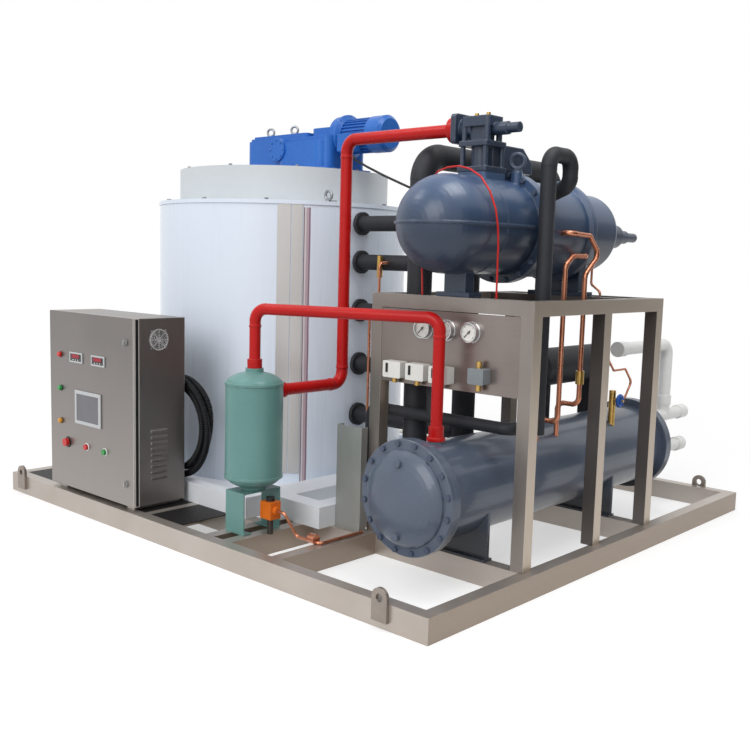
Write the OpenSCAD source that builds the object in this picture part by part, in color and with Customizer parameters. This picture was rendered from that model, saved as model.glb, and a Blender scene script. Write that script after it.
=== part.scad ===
// Flake ice machine on a base frame: control cabinet, ice drum with its drive,
// oil separator, and a rack with a screw compressor above a water-cooled condenser.
// X runs along the front beam, Y to the back, Z up, zero at the middle of the base on the floor.

/* [Base frame] */
// Length of the base frame along X
skid_length = 3000; // [2960:10:3300]
// Depth of the base frame along Y
skid_depth = 2700; // [2640:10:3000]
// Height of the base beams
beam_height = 100; // [80:5:130]
// Width of the base beams
beam_width = 60; // [50:5:70]
// Width of one lifting lug
lug_width = 75; // [65:1:90]
// Thickness of one lifting lug
lug_thickness = 15; // [12:1:20]
// Radius of the hole in a lifting lug
lug_hole_r = 16; // [12:0.5:20]
// Distance from the left end to the left lugs
lug_inset_left = 125; // [90:5:300]
// Distance from the right end to the right lugs
lug_inset_right = 220; // [90:5:300]

/* [Ice drum] */
// Distance from the left end of the frame to the drum axis
drum_inset = 817; // [810:1:840]
// Place of the drum axis along Y
drum_y = -80; // [-110:1:20]
// Outer radius of the insulated jacket
jacket_r = 704; // [660:1:710]
// Thickness of the insulated jacket
jacket_wall = 74; // [60:1:90]
// Height of the jacket from its seat to its top flange
jacket_height = 1450; // [1200:10:1500]
// Radius of the upper casing
casing_r = 593; // [570:1:610]
// Height of the upper casing
casing_height = 180; // [150:5:220]
// Radius of the main shaft
shaft_r = 40; // [30:1:45]
// Radius of the ice blade roller over its ridges
roller_r = 52; // [40:1:60]

/* [Drive] */
// Height of the reducer housing
reducer_height = 185; // [160:1:210]
// Depth of the reducer housing along Y
reducer_depth = 300; // [280:1:340]
// Outer radius of the motor frame
motor_r = 92; // [80:1:100]
// Length of the motor behind its flange
motor_length = 310; // [280:5:360]

/* [Control cabinet] */
// Distance from the left end of the frame to the cabinet
cabinet_inset = 403; // [350:1:420]
// Width of the cabinet
cabinet_width = 764; // [700:1:800]
// Height of the cabinet body
cabinet_height = 904; // [850:1:1000]
// Depth of the cabinet with its door
cabinet_depth = 293; // [260:1:300]
// Depth of the door's folded edge
door_depth = 28; // [24:1:36]
// Sheet thickness of cabinet and door
sheet = 3; // [2:0.5:4]

/* [Oil separator] */
// Distance from the left end of the frame to the separator axis
separator_inset = 1755; // [1750:1:1790]
// Distance from the front of the frame to the separator axis
separator_front = 260; // [250:1:290]
// Radius of the separator shell
separator_r = 129; // [110:1:135]
// Length of the separator with its domed ends
separator_height = 527; // [480:1:560]

/* [Rack] */
// Distance from the right end of the frame to the rack
rack_inset = 39; // [20:1:60]
// Width of the rack along X
rack_width = 851; // [840:1:880]
// Depth of the rack along Y
rack_depth = 1096; // [1080:1:1130]
// Distance from the front of the frame to the rack
rack_front = 637; // [630:1:660]
// Height of the rack's top above the floor
rack_top = 1186; // [1160:1:1240]
// Width of the rack's square tube
post = 60; // [50:1:70]

/* [Condenser] */
// Outer radius of the condenser shell
condenser_r = 205; // [190:1:210]
// Length of the condenser between its end flanges
condenser_length = 1823; // [1750:1:1860]
// Height of the condenser axis above the floor
condenser_z = 386; // [375:1:400]
// Radius of the condenser's end flanges
condenser_flange_r = 239; // [230:1:250]

/* [Compressor] */
// Outer radius of the compressor casing
compressor_r = 202; // [190:1:210]
// Radius of the bolted flange between casing and motor case
compressor_flange_r = 240; // [230:1:250]
// Height of the compressor axis above the rack's top
compressor_rise = 297; // [290:1:305]

/* [Pipes] */
// Radius of the hot gas pipe from compressor to separator
riser_r = 28; // [24:0.5:30]
// Radius of the hot gas pipe from separator to condenser
drop_r = 25; // [21:0.5:28]
// Radius of the insulated suction pipe
suction_r = 56; // [45:1:58]
// Radius of the insulated drum stubs
stub_r = 40; // [30:1:42]
// Radius of the insulated liquid line
liquid_r = 33; // [28:0.5:36]
// Radius of the white water pipes
water_r = 33; // [28:1:38]
// Radius of the copper lines
copper_r = 7; // [5:0.5:9]
// Radius of the two copper lines at the compressor side
port_line_r = 11; // [8:0.5:14]

/* [Hidden] */
$fn = 64;

// Clearances
run_gap = 0.05;
touch_gap = 0.3;
slip_gap = 2;

// Elbows stand a little proud of the pipes that run into them
elbow_grow = 0.8;
elbow_lap = 4;

// Base frame
left = -skid_length / 2;
right = skid_length / 2;
front = -skid_depth / 2;
back = skid_depth / 2;
lug_rise = 20;
lug_drop = 70;
thin_member = 45;

// Ice drum
drum_x = left + drum_inset;
base_flange_side = 80;
base_flange_end = 64;
base_top = beam_height + 100;
base_half_x = jacket_r + 4 + base_flange_side;
base_half_y = 929;
drum_seat = beam_height + 50;
seat_plate = 10;
evaporator_wall = 30;
evaporator_r = jacket_r - jacket_wall - evaporator_wall;
jacket_top = drum_seat + jacket_height;
rim_height = 20;
rim_top = jacket_top + rim_height;
casing_top = rim_top + casing_height;
casing_foot = 26;
lid_plate = 8;
hub_r = 75;
hub_top = drum_seat + 120;
shaft_seat = drum_seat + 20;
shaft_entry = 60;
scraper_low = drum_seat + 270;
scraper_high = jacket_top - 220;
scraper_boss = 100;
roller_offset = evaporator_r - roller_r - slip_gap;
roller_pin_r = 18;

// Drive, measured from the drum axis
reducer_left = -170;
reducer_right = 500;
reducer_foot = 15;
reducer_top = casing_top + reducer_foot + reducer_height;
motor_z = casing_top + 182;
motor_flange_x = drum_x + reducer_right;
motor_flange_t = 30;

// Oil separator
separator_x = left + separator_inset;
separator_y = front + separator_front;
separator_seat = beam_height + 190;
separator_bottom = separator_seat + 7;
separator_top = separator_bottom + separator_height;
bracket_left = separator_x - 65;
bracket_right = separator_x + 60;
bracket_front = separator_y - 105;
bracket_back = separator_y + 110;
bracket_t = 6;

// Rack
rack_right = right - rack_inset;
rack_left = rack_right - rack_width;
rack_y = front + rack_front;
rack_back = rack_y + rack_depth;
rack_mid = rack_y + 552;
rail_y = rack_y + 813;

// Condenser, along Y
condenser_x = rack_right - 381;
condenser_front = rack_y - 260;
flange_t = 28;
head_flange_t = 28;
front_dome = 65;
rear_dome = 90;
condenser_rear = condenser_front + condenser_length;
saddle_t = 14;
saddle_half = 190;

// Compressor, along Y
compressor_x = rack_right - 411;
compressor_z = rack_top + compressor_rise;
casing_tip = rack_y - 257;
dome_depth = 205;
split_y = rack_y + 353;
port_y = rack_y + 576;
split_flange_t = 25;
motor_case_r = 212;
motor_case_end = rack_y + 763;
bell_r = 185;
bell_end = rack_y + 1083;
foot_half = 150;
front_foot_half = 85;
foot_t = 20;
front_foot_y = rack_y + 8;
foot_depth = 90;
column_y = rack_y + 179;
column_base = compressor_z + compressor_r + 20;
column_top = compressor_z + 451;
valve_x = compressor_x - 125;
valve_z = compressor_z + 407;
valve_half = 62;
eye_dx = 78;
eye_y = split_y - 26;
eye_seat = compressor_z + 236;
suction_port_y = bell_end + 150;
suction_port_z = compressor_z - 3;
suction_body_r = 60;

// Pipe routes
riser_low = separator_bottom + 429;
drop_high = separator_top + 278;
drop_x = condenser_x - 5;
drop_y = rack_y - 97;
pipe_flange_r = 55;
pipe_flange_t = 34;
stub_y = drum_y - 100;
stub_heights = [509, 780, 1063, 1316, 1515];
stub_flange_x = drum_x + jacket_r + 4;
stub_flange_t = 20;
stub_flange_r = 60;
header_x = rack_left + post + 65;
header_low = 355;
header_top = 1580;
suction_y = rack_y + 173;
suction_high = 1795;
liquid_x = condenser_x + condenser_r + 34;
liquid_y = rack_y + 277;
liquid_high = 1780;
vessel_x = condenser_x - 180;
vessel_z = 815;
vessel_r = 95;
vessel_front = 150;
vessel_back = 800;
branch_z = 655;
branch_y = rack_y + 88;

// Stop valve with a handwheel on the condenser
wheel_x = condenser_x + 120;
wheel_y = rack_back + 48;
wheel_z = 668;
wheel_pin_r = 6;

// Instrument panel between the rack's front posts
panel_left = rack_left + post;
panel_right = rack_right - post;
panel_low = 800;
panel_high = 1123;
panel_t = 4;
panel_face = rack_y + 2;
gauge_r = 42;
gauge_depth = 30;
gauge_z = 1047;
gauge_spots = [248, 367, 494];
gauge_pin_r = 2;
switch_spots = [104, 233, 361];
switch_z = 860;

// Pump bracket
pump_left = rack_left - 147;
pump_width = 153;
pump_y = rack_y - 55;
pump_top = 578;
pump_t = 5;
pump_mid = pump_left + pump_width / 2;
canister_z = 395;
canister_r = 68;

// Water tank, between the drum base and the pump bracket
tank_gap = 2;
tank_left = drum_x + base_half_x;
tank_width = pump_left - tank_gap - tank_left;
tank_front = rack_y - 159;
tank_length = 900;
tank_rim = 95;

// Hose coil behind the cabinet
coil_outer = 265;
coil_inner = 190;
coil_width = 90;
coil_x = drum_x + 223;

// Cabinet
cabinet_left = left + cabinet_inset;
cabinet_right = cabinet_left + cabinet_width;
door_face = front + 18;
cabinet_front = door_face + door_depth + 2;
cabinet_back = door_face + cabinet_depth;
base_clear = 30;
base_front = cabinet_back + base_clear;
base_back = drum_y + base_half_y;
coil_y = base_front + base_flange_end / 2;
cabinet_low = beam_height + 22;
cabinet_high = cabinet_low + cabinet_height;
lip = 25;
hinge_x = cabinet_left - 9;
hinge_y = cabinet_front - 1;
hinge_r = 7;
hinge_pin_r = 3;
knuckle = 40;
hinge_heights = [cabinet_low + 130, cabinet_high - 210];
lock_r = 12;
lock_x = cabinet_right - 62;
lock_heights = [cabinet_low + 106, cabinet_high - 115];
lamp_r = 13;
button_travel = 4;
estop_travel = 5;
stem_r = 8;
control_left = cabinet_left + 105;
lamp_heights = [cabinet_high - 222, cabinet_high - 396, cabinet_high - 567];
button_z = cabinet_high - 671;
estop_spot = [cabinet_left + 171, button_z];
stop_spot = [cabinet_left + 350, button_z];
start_spot = [cabinet_left + 516, button_z];
screen_spot = [cabinet_left + 249, cabinet_high - 561];
screen_size = [238, 171];
display_size = [121, 53];
display_spots = [[cabinet_left + 199, cabinet_high - 253], [cabinet_left + 402, cabinet_high - 253]];
fan_y = cabinet_back - 150;
fan_z = cabinet_high - 103;
fan_r = 46;
fan_pin_r = 4;

// Routes of thin lines, chosen by hand
lead_route = [[-68, -172, 1891.5], [-66, -172, 1872], [-30, -178, 1846], [60, -184, 1806],
  [180, -186, 1757], [300, -186, 1712], [420, -185, 1668], [520, -183, 1632], [600, -181, 1598],
  [650, -180, 1575], [675.5, -180, 1566]];
lead_r = 6;
hose_steps = [[-190, 45, 0.5], [-198, 49, 85], [-208, 51, 192], [-216, 51, 284], [-212, 49, 354],
  [-192, 43, 414], [-158, 33, 476], [-110, 23, 516], [-50, 13, 530], [10, 8, 532], [70, 5, 518],
  [130, 1, 484], [178, -2, 426], [208, 1, 354], [216, 9, 284], [214, 19, 214], [206, 31, 112],
  [200, 41, 0.5]];
hose_route = [for (p = hose_steps) [compressor_x + p[0], rack_y + p[1], rack_top + p[2]]];
hose_r = 4;

function unit(v) = v / norm(v);
function across(d) = unit(abs(d[2]) < 0.9 ? cross([0, 0, 1], d) : cross([0, 1, 0], d));
function ellipse_arc(r, h, n) = [for (i = [0:n]) [r * cos(90 * i / n), h * sin(90 * i / n)]];
function side_vectors(dirs, i, u) = i == len(dirs) ? [] :
  let (v = unit(u - dirs[i] * (u * dirs[i]))) concat([v], side_vectors(dirs, i + 1, v));
function ring_point(c, u, v, r, k, n) = c + r * (cos(360 * k / n) * u + sin(360 * k / n) * v);

module box(lo, hi) { translate(lo) cube(hi - lo); }

// Child's +Z turned to +Y or +X, or to -Y
module along_y(p) { translate(p) rotate([-90, 0, 0]) children(); }
module along_x(p) { translate(p) rotate([0, 90, 0]) children(); }
module facing_front(p) { translate(p) rotate([90, 0, 0]) children(); }

module frame_at(p, x, y, z) {
  multmatrix([[x[0], y[0], z[0], p[0]], [x[1], y[1], z[1], p[1]], [x[2], y[2], z[2], p[2]], [0, 0, 0, 1]])
    children();
}

// Round bar between two points
module bar(a, b, r) {
  d = unit(b - a);
  x = across(d);
  frame_at(a, x, cross(d, x), d) cylinder(r = r, h = norm(b - a));
}

// Pipe through points, with a round bend at each inner one
module pipe_run(p, r, bend) {
  last = len(p) - 1;
  dirs = [for (i = [0:last - 1]) unit(p[i + 1] - p[i])];
  turns = [for (i = [1:last - 1]) acos(dirs[i - 1] * dirs[i])];
  cuts = [for (i = [0:last]) i == 0 || i == last ? 0 : bend * tan(turns[i - 1] / 2)];
  reach = [for (i = [0:last]) i == 0 || i == last ? 0 : cuts[i] - elbow_lap];
  for (i = [0:last - 1]) bar(p[i] + dirs[i] * reach[i], p[i + 1] - dirs[i] * reach[i + 1], r);
  for (i = [1:last - 1]) {
    inward = unit(dirs[i] - dirs[i - 1] * (dirs[i - 1] * dirs[i]));
    centre = p[i] - dirs[i - 1] * cuts[i] + inward * bend;
    frame_at(centre, -inward, dirs[i - 1], cross(-inward, dirs[i - 1]))
      rotate_extrude(angle = turns[i - 1]) translate([bend, 0]) circle(r = r + elbow_grow);
  }
}

// Thin tube swept along a route
module swept_tube(p, r, sides) {
  n = len(p);
  dirs = [for (i = [0:n - 1]) unit(p[min(i + 1, n - 1)] - p[max(i - 1, 0)])];
  sideways = side_vectors(dirs, 0, across(dirs[0]));
  points = [for (i = [0:n - 1], k = [0:sides - 1])
    ring_point(p[i], sideways[i], cross(dirs[i], sideways[i]), r, k, sides)];
  walls = [for (i = [0:n - 2], k = [0:sides - 1]) let (a = i * sides + k, b = i * sides + (k + 1) % sides)
    each [[a, a + sides, b], [b, a + sides, b + sides]]];
  caps = [[for (k = [0:sides - 1]) k], [for (k = [sides - 1:-1:0]) (n - 1) * sides + k]];
  polyhedron(points, concat(walls, caps));
}

// Plate with four round upright edges
module rounded_plate(w, d, h, r) {
  translate([-w / 2 + r, -d / 2, 0]) cube([w - 2 * r, d, h]);
  translate([-w / 2, -d / 2 + r, 0]) cube([w, d - 2 * r, h]);
  for (sx = [-1, 1], sy = [-1, 1]) translate([sx * (w / 2 - r), sy * (d / 2 - r), 0]) cylinder(r = r, h = h);
}

module hex_bolt(r, h) { cylinder(r = r, h = h, $fn = 6); }

// Base frame
module skid_frame() {
  inner_left = left + beam_width;
  inner_right = right - beam_width;
  inner_front = front + beam_width;
  inner_back = back - beam_width;
  cable_x = drum_x + 383;
  second_x = separator_x - 85;
  third_x = separator_x + 35;
  color("#b3aca2") union() {
    difference() {
      box([left, front, 0], [right, back, beam_height]);
      box([inner_left, inner_front, -1], [inner_right, inner_back, beam_height + 1]);
    }
    box([cable_x, inner_front, 0], [cable_x + thin_member, base_front, beam_height]);
    for (x = [second_x, third_x]) box([x, inner_front, 0], [x + beam_width, inner_back, beam_height]);
    box([rack_left, inner_front, 0], [rack_left + beam_width, inner_back, beam_height]);
    box([inner_left, base_front, 0], [second_x, base_front + base_flange_end, beam_height]);
    box([inner_left, base_back - base_flange_end, 0], [second_x, base_back, beam_height]);
    box([third_x, pump_y - 27, 0], [rack_left + post, pump_y + 33, beam_height]);
    for (y = [rack_y, rack_back - post]) box([rack_left, y, 0], [inner_right, y + post, beam_height]);
  }
}

module lug() {
  difference() {
    union() {
      translate([-lug_width / 2, 0, beam_height - lug_drop])
        cube([lug_width, lug_thickness, lug_drop + lug_rise]);
      along_y([0, 0, beam_height + lug_rise]) cylinder(r = lug_width / 2, h = lug_thickness);
    }
    along_y([0, -1, beam_height + lug_rise]) cylinder(r = lug_hole_r, h = lug_thickness + 2);
  }
}

module lifting_lugs() {
  color("#a39a90") for (x = [left + lug_inset_left, right - lug_inset_right])
    for (y = [front - lug_thickness, back]) translate([x, y, 0]) lug();
}

module floor_plate() {
  cable_x = drum_x + 383;
  plate_t = 4;
  plate_end = cable_x + 285;
  color("#2c2c2e") for (span = [[left + beam_width, cable_x], [cable_x + thin_member, plate_end]])
    box([span[0], front + beam_width, beam_height - plate_t], [span[1], base_front, beam_height]);
}

// Ice drum
module drum_base() {
  inner = base_half_x - base_flange_side;
  inner_front = base_front + base_flange_end;
  inner_back = base_back - base_flange_end;
  color("#c9c8c4") translate([drum_x, 0, 0]) difference() {
    box([-base_half_x, base_front, beam_height], [base_half_x, base_back, base_top]);
    box([-inner, inner_front, drum_seat], [inner, inner_back, base_top + 1]);
    box([-inner, inner_front, beam_height - 1], [inner, inner_back, drum_seat - seat_plate]);
    translate([0, drum_y, beam_height]) cylinder(r = evaporator_r - 15, h = base_top, $fn = 128);
  }
}

module water_tank() {
  floor_t = 8;
  color("#d2d2cf") difference() {
    box([tank_left, tank_front, beam_height], [tank_left + tank_width, tank_front + tank_length, base_top]);
    box([tank_left + tank_rim, tank_front + tank_rim, beam_height + floor_t],
      [tank_left + tank_width - tank_rim, tank_front + tank_length - tank_rim, base_top + 1]);
  }
}

module drum_jacket() {
  inner = jacket_r - jacket_wall;
  rim_inner = casing_r - 33;
  color("#dfe4ec") translate([drum_x, drum_y, 0]) rotate_extrude($fn = 160)
    polygon([[inner, drum_seat], [jacket_r, drum_seat], [jacket_r, jacket_top], [jacket_r + 5, jacket_top],
      [jacket_r + 5, rim_top], [rim_inner, rim_top], [rim_inner, jacket_top], [inner, jacket_top]]);
}

module seam_covers() {
  strip_t = 3;
  strip_low = base_top + 5;
  color("#c8c1b4") translate([drum_x, drum_y, 0]) for (span = [[-45, 5.6], [-39, 4.6]])
    rotate([0, 0, span[0]]) rotate_extrude(angle = span[1], $fn = 160)
      translate([jacket_r + touch_gap, strip_low]) square([strip_t, jacket_top - strip_low - touch_gap]);
}

module upper_casing() {
  foot_t = 6;
  wall = 4;
  hole = shaft_r + 20;
  color("#d9d9d6") translate([drum_x, drum_y, 0]) rotate_extrude($fn = 160)
    polygon([[casing_r - wall, rim_top], [casing_r + casing_foot, rim_top],
      [casing_r + casing_foot, rim_top + foot_t], [casing_r, rim_top + foot_t], [casing_r, casing_top],
      [hole, casing_top], [hole, casing_top - lid_plate], [casing_r - wall, casing_top - lid_plate]]);
}

module evaporator() {
  color("#b9bcc0") translate([drum_x, drum_y, drum_seat]) difference() {
    cylinder(r = evaporator_r + evaporator_wall - touch_gap, h = jacket_height - 5, $fn = 160);
    translate([0, 0, -1]) cylinder(r = evaporator_r, h = jacket_height, $fn = 160);
  }
}

module bearing_spider() {
  arm_w = 40;
  arm_h = 40;
  reach = sqrt(pow(evaporator_r - touch_gap, 2) - pow(arm_w / 2, 2));
  color("#9a9da1") translate([drum_x, drum_y, 0]) difference() {
    union() {
      translate([0, 0, drum_seat]) cylinder(r = hub_r, h = hub_top - drum_seat);
      for (a = [45:90:315]) rotate([0, 0, a])
        box([0, -arm_w / 2, drum_seat], [reach, arm_w / 2, drum_seat + arm_h]);
    }
    translate([0, 0, shaft_seat]) cylinder(r = shaft_r + run_gap, h = hub_top);
  }
}

module main_shaft() {
  color("#b4b4b4") translate([drum_x, drum_y, shaft_seat + touch_gap])
    cylinder(r = shaft_r, h = casing_top + shaft_entry - touch_gap - shaft_seat - touch_gap);
}

module ice_scraper() {
  sleeve_r = shaft_r + 30;
  boss_r = roller_r - 8;
  arm_w = 50;
  pan_r = 330;
  pan_low = scraper_high + scraper_boss;
  color("#c2c4c6") translate([drum_x, drum_y, 0]) difference() {
    union() {
      for (z = [scraper_low, scraper_high]) {
        translate([0, 0, z]) cylinder(r = sleeve_r, h = scraper_boss);
        box([0, -arm_w / 2, z + 25], [roller_offset, arm_w / 2, z + scraper_boss - 25]);
        translate([roller_offset, 0, z]) cylinder(r = boss_r, h = scraper_boss);
      }
      rotate_extrude() polygon([[shaft_r, pan_low], [sleeve_r, pan_low], [pan_r, pan_low + 25],
        [pan_r, pan_low + 70], [pan_r - 6, pan_low + 70], [pan_r - 6, pan_low + 31],
        [shaft_r, pan_low + 12]]);
    }
    translate([0, 0, scraper_low - 1]) cylinder(r = shaft_r, h = jacket_height);
    translate([roller_offset, 0, scraper_low - 1]) cylinder(r = roller_pin_r + run_gap, h = jacket_height);
  }
}

module blade_roller() {
  ridges = 6;
  core = roller_r - 14;
  low = scraper_low + scraper_boss + touch_gap;
  length = scraper_high - touch_gap - low;
  pin = 80;
  star = [for (k = [0:ridges - 1]) each [[roller_r, 360 * k / ridges], [core, 360 * (k + 0.3) / ridges],
    [core, 360 * (k + 0.7) / ridges]]];
  color("#a8abae") translate([drum_x + roller_offset, drum_y, low]) {
    linear_extrude(height = length, twist = 540, slices = 48, $fn = 18)
      polygon([for (s = star) s[0] * [cos(s[1]), sin(s[1])]]);
    translate([0, 0, -pin]) cylinder(r = roller_pin_r, h = length + 2 * pin);
  }
}

// Drive on the casing's lid
module gear_reducer() {
  mid = (reducer_left + reducer_right) / 2;
  width = reducer_right - reducer_left;
  body_low = casing_top + reducer_foot;
  half = reducer_depth / 2;
  round_r = 45;
  cover_x = 125;
  cover_r = 62;
  cover_t = 34;
  bulge = 22;
  stage = 175;
  color("#2f6bc0") translate([drum_x, drum_y, 0]) difference() {
    union() {
      translate([mid, 0, casing_top]) rounded_plate(width + 40, reducer_depth + 50, reducer_foot, 20);
      translate([mid, 0, body_low]) rounded_plate(width, reducer_depth, reducer_height - 20, round_r);
      translate([mid - stage / 2, 0, body_low])
        rounded_plate(width - stage - 20, reducer_depth - 20, reducer_height - 6, 38);
      translate([mid - stage / 2, 0, reducer_top - 8])
        rounded_plate(width - stage - 50, reducer_depth - 60, 16, 20);
      translate([mid + 130, -bulge, body_low])
        rounded_plate(width - 310, reducer_depth, reducer_height - 45, 50);
      translate([reducer_right - stage / 2, 0, body_low])
        rounded_plate(stage, reducer_depth - 70, reducer_height + 25, 40);
      facing_front([cover_x, -half + 2, body_low + 105]) cylinder(r = cover_r, h = cover_t);
      along_x([reducer_right - 40, 0, motor_z]) cylinder(r = motor_r + 18, h = 40);
    }
    translate([0, 0, casing_top - 1]) cylinder(r = shaft_r + run_gap, h = shaft_entry + 1);
  }
}

module drive_motor() {
  fins = 28;
  frame_r = motor_r - 10;
  cover = 105;
  body = motor_length - cover;
  box_size = [105, 70, 90];
  color("#2f6bc0") translate([motor_flange_x, drum_y, motor_z]) union() {
    along_x([0, 0, 0]) rotate_extrude() polygon([[0, 0], [motor_r + 24, 0], [motor_r + 24, 14],
      [frame_r + 8, motor_flange_t], [frame_r, motor_flange_t], [frame_r, body], [motor_r + 3, body],
      [motor_r + 3, motor_length - 18], [motor_r - 16, motor_length], [0, motor_length]]);
    for (k = [0:fins - 1]) rotate([360 * k / fins, 0, 0])
      box([motor_flange_t - 4, -2, frame_r - 6], [body + 4, 2, motor_r]);
    translate([45, -motor_r - 35, -motor_r + 2]) cube(box_size);
  }
}

module motor_lead() {
  color("#1d1d1f") swept_tube(lead_route, lead_r, 8);
}

// Eye bolt standing on a point
module eye_bolt(p, r) {
  wire = r * 0.32;
  translate(p) {
    cylinder(r = r * 0.7, h = r * 0.35);
    cylinder(r = wire * 0.75, h = r * 0.5);
    translate([0, 0, r * 1.45]) rotate([90, 0, 25]) rotate_extrude() translate([r, 0]) circle(r = wire);
  }
}

module fasteners() {
  rim_bolts = 12;
  head_bolts = 16;
  split_bolts = 18;
  bolt_ring = (condenser_flange_r + condenser_r) / 2;
  split_ring = (compressor_flange_r + motor_case_r) / 2;
  rim_ring = jacket_r - 25;
  eye_x = reducer_left + 110;
  color("#8f9296") {
    for (k = [0:rim_bolts - 1]) translate([drum_x, drum_y, rim_top]) rotate([0, 0, 360 * k / rim_bolts + 10])
      translate([rim_ring, 0, 0]) hex_bolt(12, 9);
    for (k = [0:head_bolts - 1]) rotate_about_condenser(360 * (k + 0.5) / head_bolts) {
      facing_front([bolt_ring, condenser_front - head_flange_t, 0]) hex_bolt(13, 10);
      along_y([bolt_ring, condenser_rear + head_flange_t, 0]) hex_bolt(13, 10);
    }
    for (k = [0:split_bolts - 1]) translate([compressor_x, 0, compressor_z])
      rotate([0, 360 * k / split_bolts, 0])
        facing_front([split_ring, split_y - split_flange_t, 0]) hex_bolt(11, 14);
    for (x = [eye_x, eye_x + 200]) eye_bolt([drum_x + x, drum_y - 60, reducer_top + 8], 20);
    rotate_rim(-23) eye_bolt([rim_ring + 8, 0, rim_top], 22);
    eye_bolt([compressor_x + eye_dx, eye_y, eye_seat], 30);
  }
}

module rotate_about_condenser(a) {
  translate([condenser_x, 0, condenser_z]) rotate([0, a, 0]) children();
}

module rotate_rim(a) {
  translate([drum_x, drum_y, 0]) rotate([0, 0, a]) children();
}

// Hot gas pipes
module hot_gas_riser() {
  port = [separator_x, separator_y + separator_r - 12, riser_low];
  start = [valve_x - pipe_flange_t, column_y, valve_z];
  bead = 2.5;
  color("#d02222") difference() {
    union() {
      along_x(start) cylinder(r = pipe_flange_r, h = pipe_flange_t);
      pipe_run([start, [separator_x, column_y, valve_z], [separator_x, column_y, riser_low], port],
        riser_r, 60);
      along_y(port) cylinder(r = riser_r + 9, h = 57);
      translate([separator_x, column_y, valve_z - 85]) cylinder(r = riser_r + bead, h = 10);
      translate([separator_x, column_y, riser_low + 75]) cylinder(r = riser_r + bead, h = 10);
      along_y([separator_x, column_y - 85, riser_low]) cylinder(r = riser_r + bead, h = 10);
    }
    translate([separator_x, separator_y, separator_bottom])
      cylinder(r = separator_r + touch_gap, h = separator_height);
  }
}

module hot_gas_drop() {
  foot = [drop_x, drop_y, condenser_z + condenser_r + 6];
  neck = [separator_x, separator_y, separator_top + 14];
  bead = 2.5;
  color("#d02222") union() {
    pipe_run([neck, [separator_x, separator_y, drop_high], [drop_x, drop_y, drop_high], foot], drop_r, 55);
    translate(neck) cylinder(r = drop_r + 8, h = 40);
    translate([separator_x, separator_y, drop_high - 82]) cylinder(r = drop_r + bead, h = 10);
    translate([drop_x, drop_y, drop_high - 82]) cylinder(r = drop_r + bead, h = 10);
    translate(foot) cylinder(r = drop_r + 14, h = 14);
    translate(foot) cylinder(r = drop_r + 7, h = 60);
  }
}

// Oil separator
module oil_separator() {
  dome = 62;
  arc = ellipse_arc(separator_r, dome, 10);
  bead = 3;
  high = separator_height - dome;
  color("#6a9a90") translate([separator_x, separator_y, separator_bottom]) union() {
    rotate_extrude($fn = 96) polygon(concat([[0, 0]], [for (i = [10:-1:0]) [arc[i][0], dome - arc[i][1]]],
      [for (p = arc) [p[0], high + p[1]]]));
    for (z = [dome - 14, high + 2]) translate([0, 0, z]) cylinder(r = separator_r + bead, h = 12, $fn = 96);
    translate([0, 0, separator_height - 4]) cylinder(r = 40, h = 18);
    translate([0, 0, separator_seat - separator_bottom]) cylinder(r = 55, h = 30);
  }
}

module separator_bracket() {
  color("#5f9086") difference() {
    union() {
      for (y = [bracket_front, bracket_back - bracket_t])
        box([bracket_left, y, beam_height], [bracket_right, y + bracket_t, separator_seat]);
      box([bracket_left, bracket_front, separator_seat - bracket_t],
        [bracket_right, bracket_back, separator_seat]);
      for (y = [bracket_front, bracket_back - 45])
        box([bracket_left, y, beam_height], [bracket_right, y + 45, beam_height + bracket_t]);
    }
    translate([separator_x, separator_y, separator_seat - 20]) cylinder(r = 20, h = 30);
  }
}

module oil_valve() {
  valve_y = separator_y - 20;
  size = [70, 60, 78];
  color("#e0771f") union() {
    translate([bracket_right + 12, valve_y, beam_height + 72]) cube(size);
    along_x([bracket_right + 12 + size[0], valve_y + size[1] / 2, beam_height + 112])
      cylinder(r = 18, h = 14);
    translate([bracket_right + 47, valve_y + 30, beam_height]) cylinder(r = 14, h = 80);
    translate([bracket_right + 47, valve_y + 30, beam_height + 150]) cylinder(r = 20, h = 18);
  }
}

// Condenser along Y on two saddles
module condenser_shell() {
  color("#4a535f") union() {
    along_y([condenser_x, condenser_front, condenser_z])
      cylinder(r = condenser_r, h = condenser_length, $fn = 96);
    for (y = [condenser_front, condenser_rear - flange_t])
      along_y([condenser_x, y, condenser_z]) cylinder(r = condenser_flange_r, h = flange_t, $fn = 96);
    for (y = [rack_y + post / 2, rack_back - post / 2]) translate([condenser_x, y, 0]) {
      box([-saddle_half, -saddle_t / 2, beam_height], [saddle_half, saddle_t / 2, condenser_z - 60]);
      box([-saddle_half, -28, beam_height], [saddle_half, 28, beam_height + 10]);
    }
    translate([drop_x, drop_y, condenser_z]) cylinder(r = drop_r + 10, h = condenser_r + 6);
  }
}

module condenser_head(dome) {
  rim = condenser_r - 5;
  rotate_extrude($fn = 96) polygon(concat([[0, 0], [condenser_flange_r, 0],
    [condenser_flange_r, head_flange_t - 3], [condenser_flange_r - 3, head_flange_t]],
    [for (p = ellipse_arc(rim, dome, 10)) [p[0], head_flange_t + p[1]]]));
}

module condenser_front_head() {
  plug_r = 150;
  color("#454e5a") facing_front([condenser_x, condenser_front, condenser_z]) union() {
    condenser_head(front_dome);
    for (s = [-1, 1]) translate([0, s * plug_r, head_flange_t]) cylinder(r = 16, h = 60);
  }
}

module condenser_rear_head() {
  color("#454e5a") along_y([condenser_x, condenser_rear, condenser_z]) condenser_head(rear_dome);
}

// Compressor along Y on the rack
module compressor_outline(grow) {
  arc = ellipse_arc(compressor_r + grow, dome_depth + grow, 14);
  length = split_y - casing_tip;
  rotate_extrude($fn = 96) polygon(concat([[0, length]], [[compressor_r + grow, length]],
    [for (p = arc) [p[0], dome_depth - p[1]]]));
}

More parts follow.
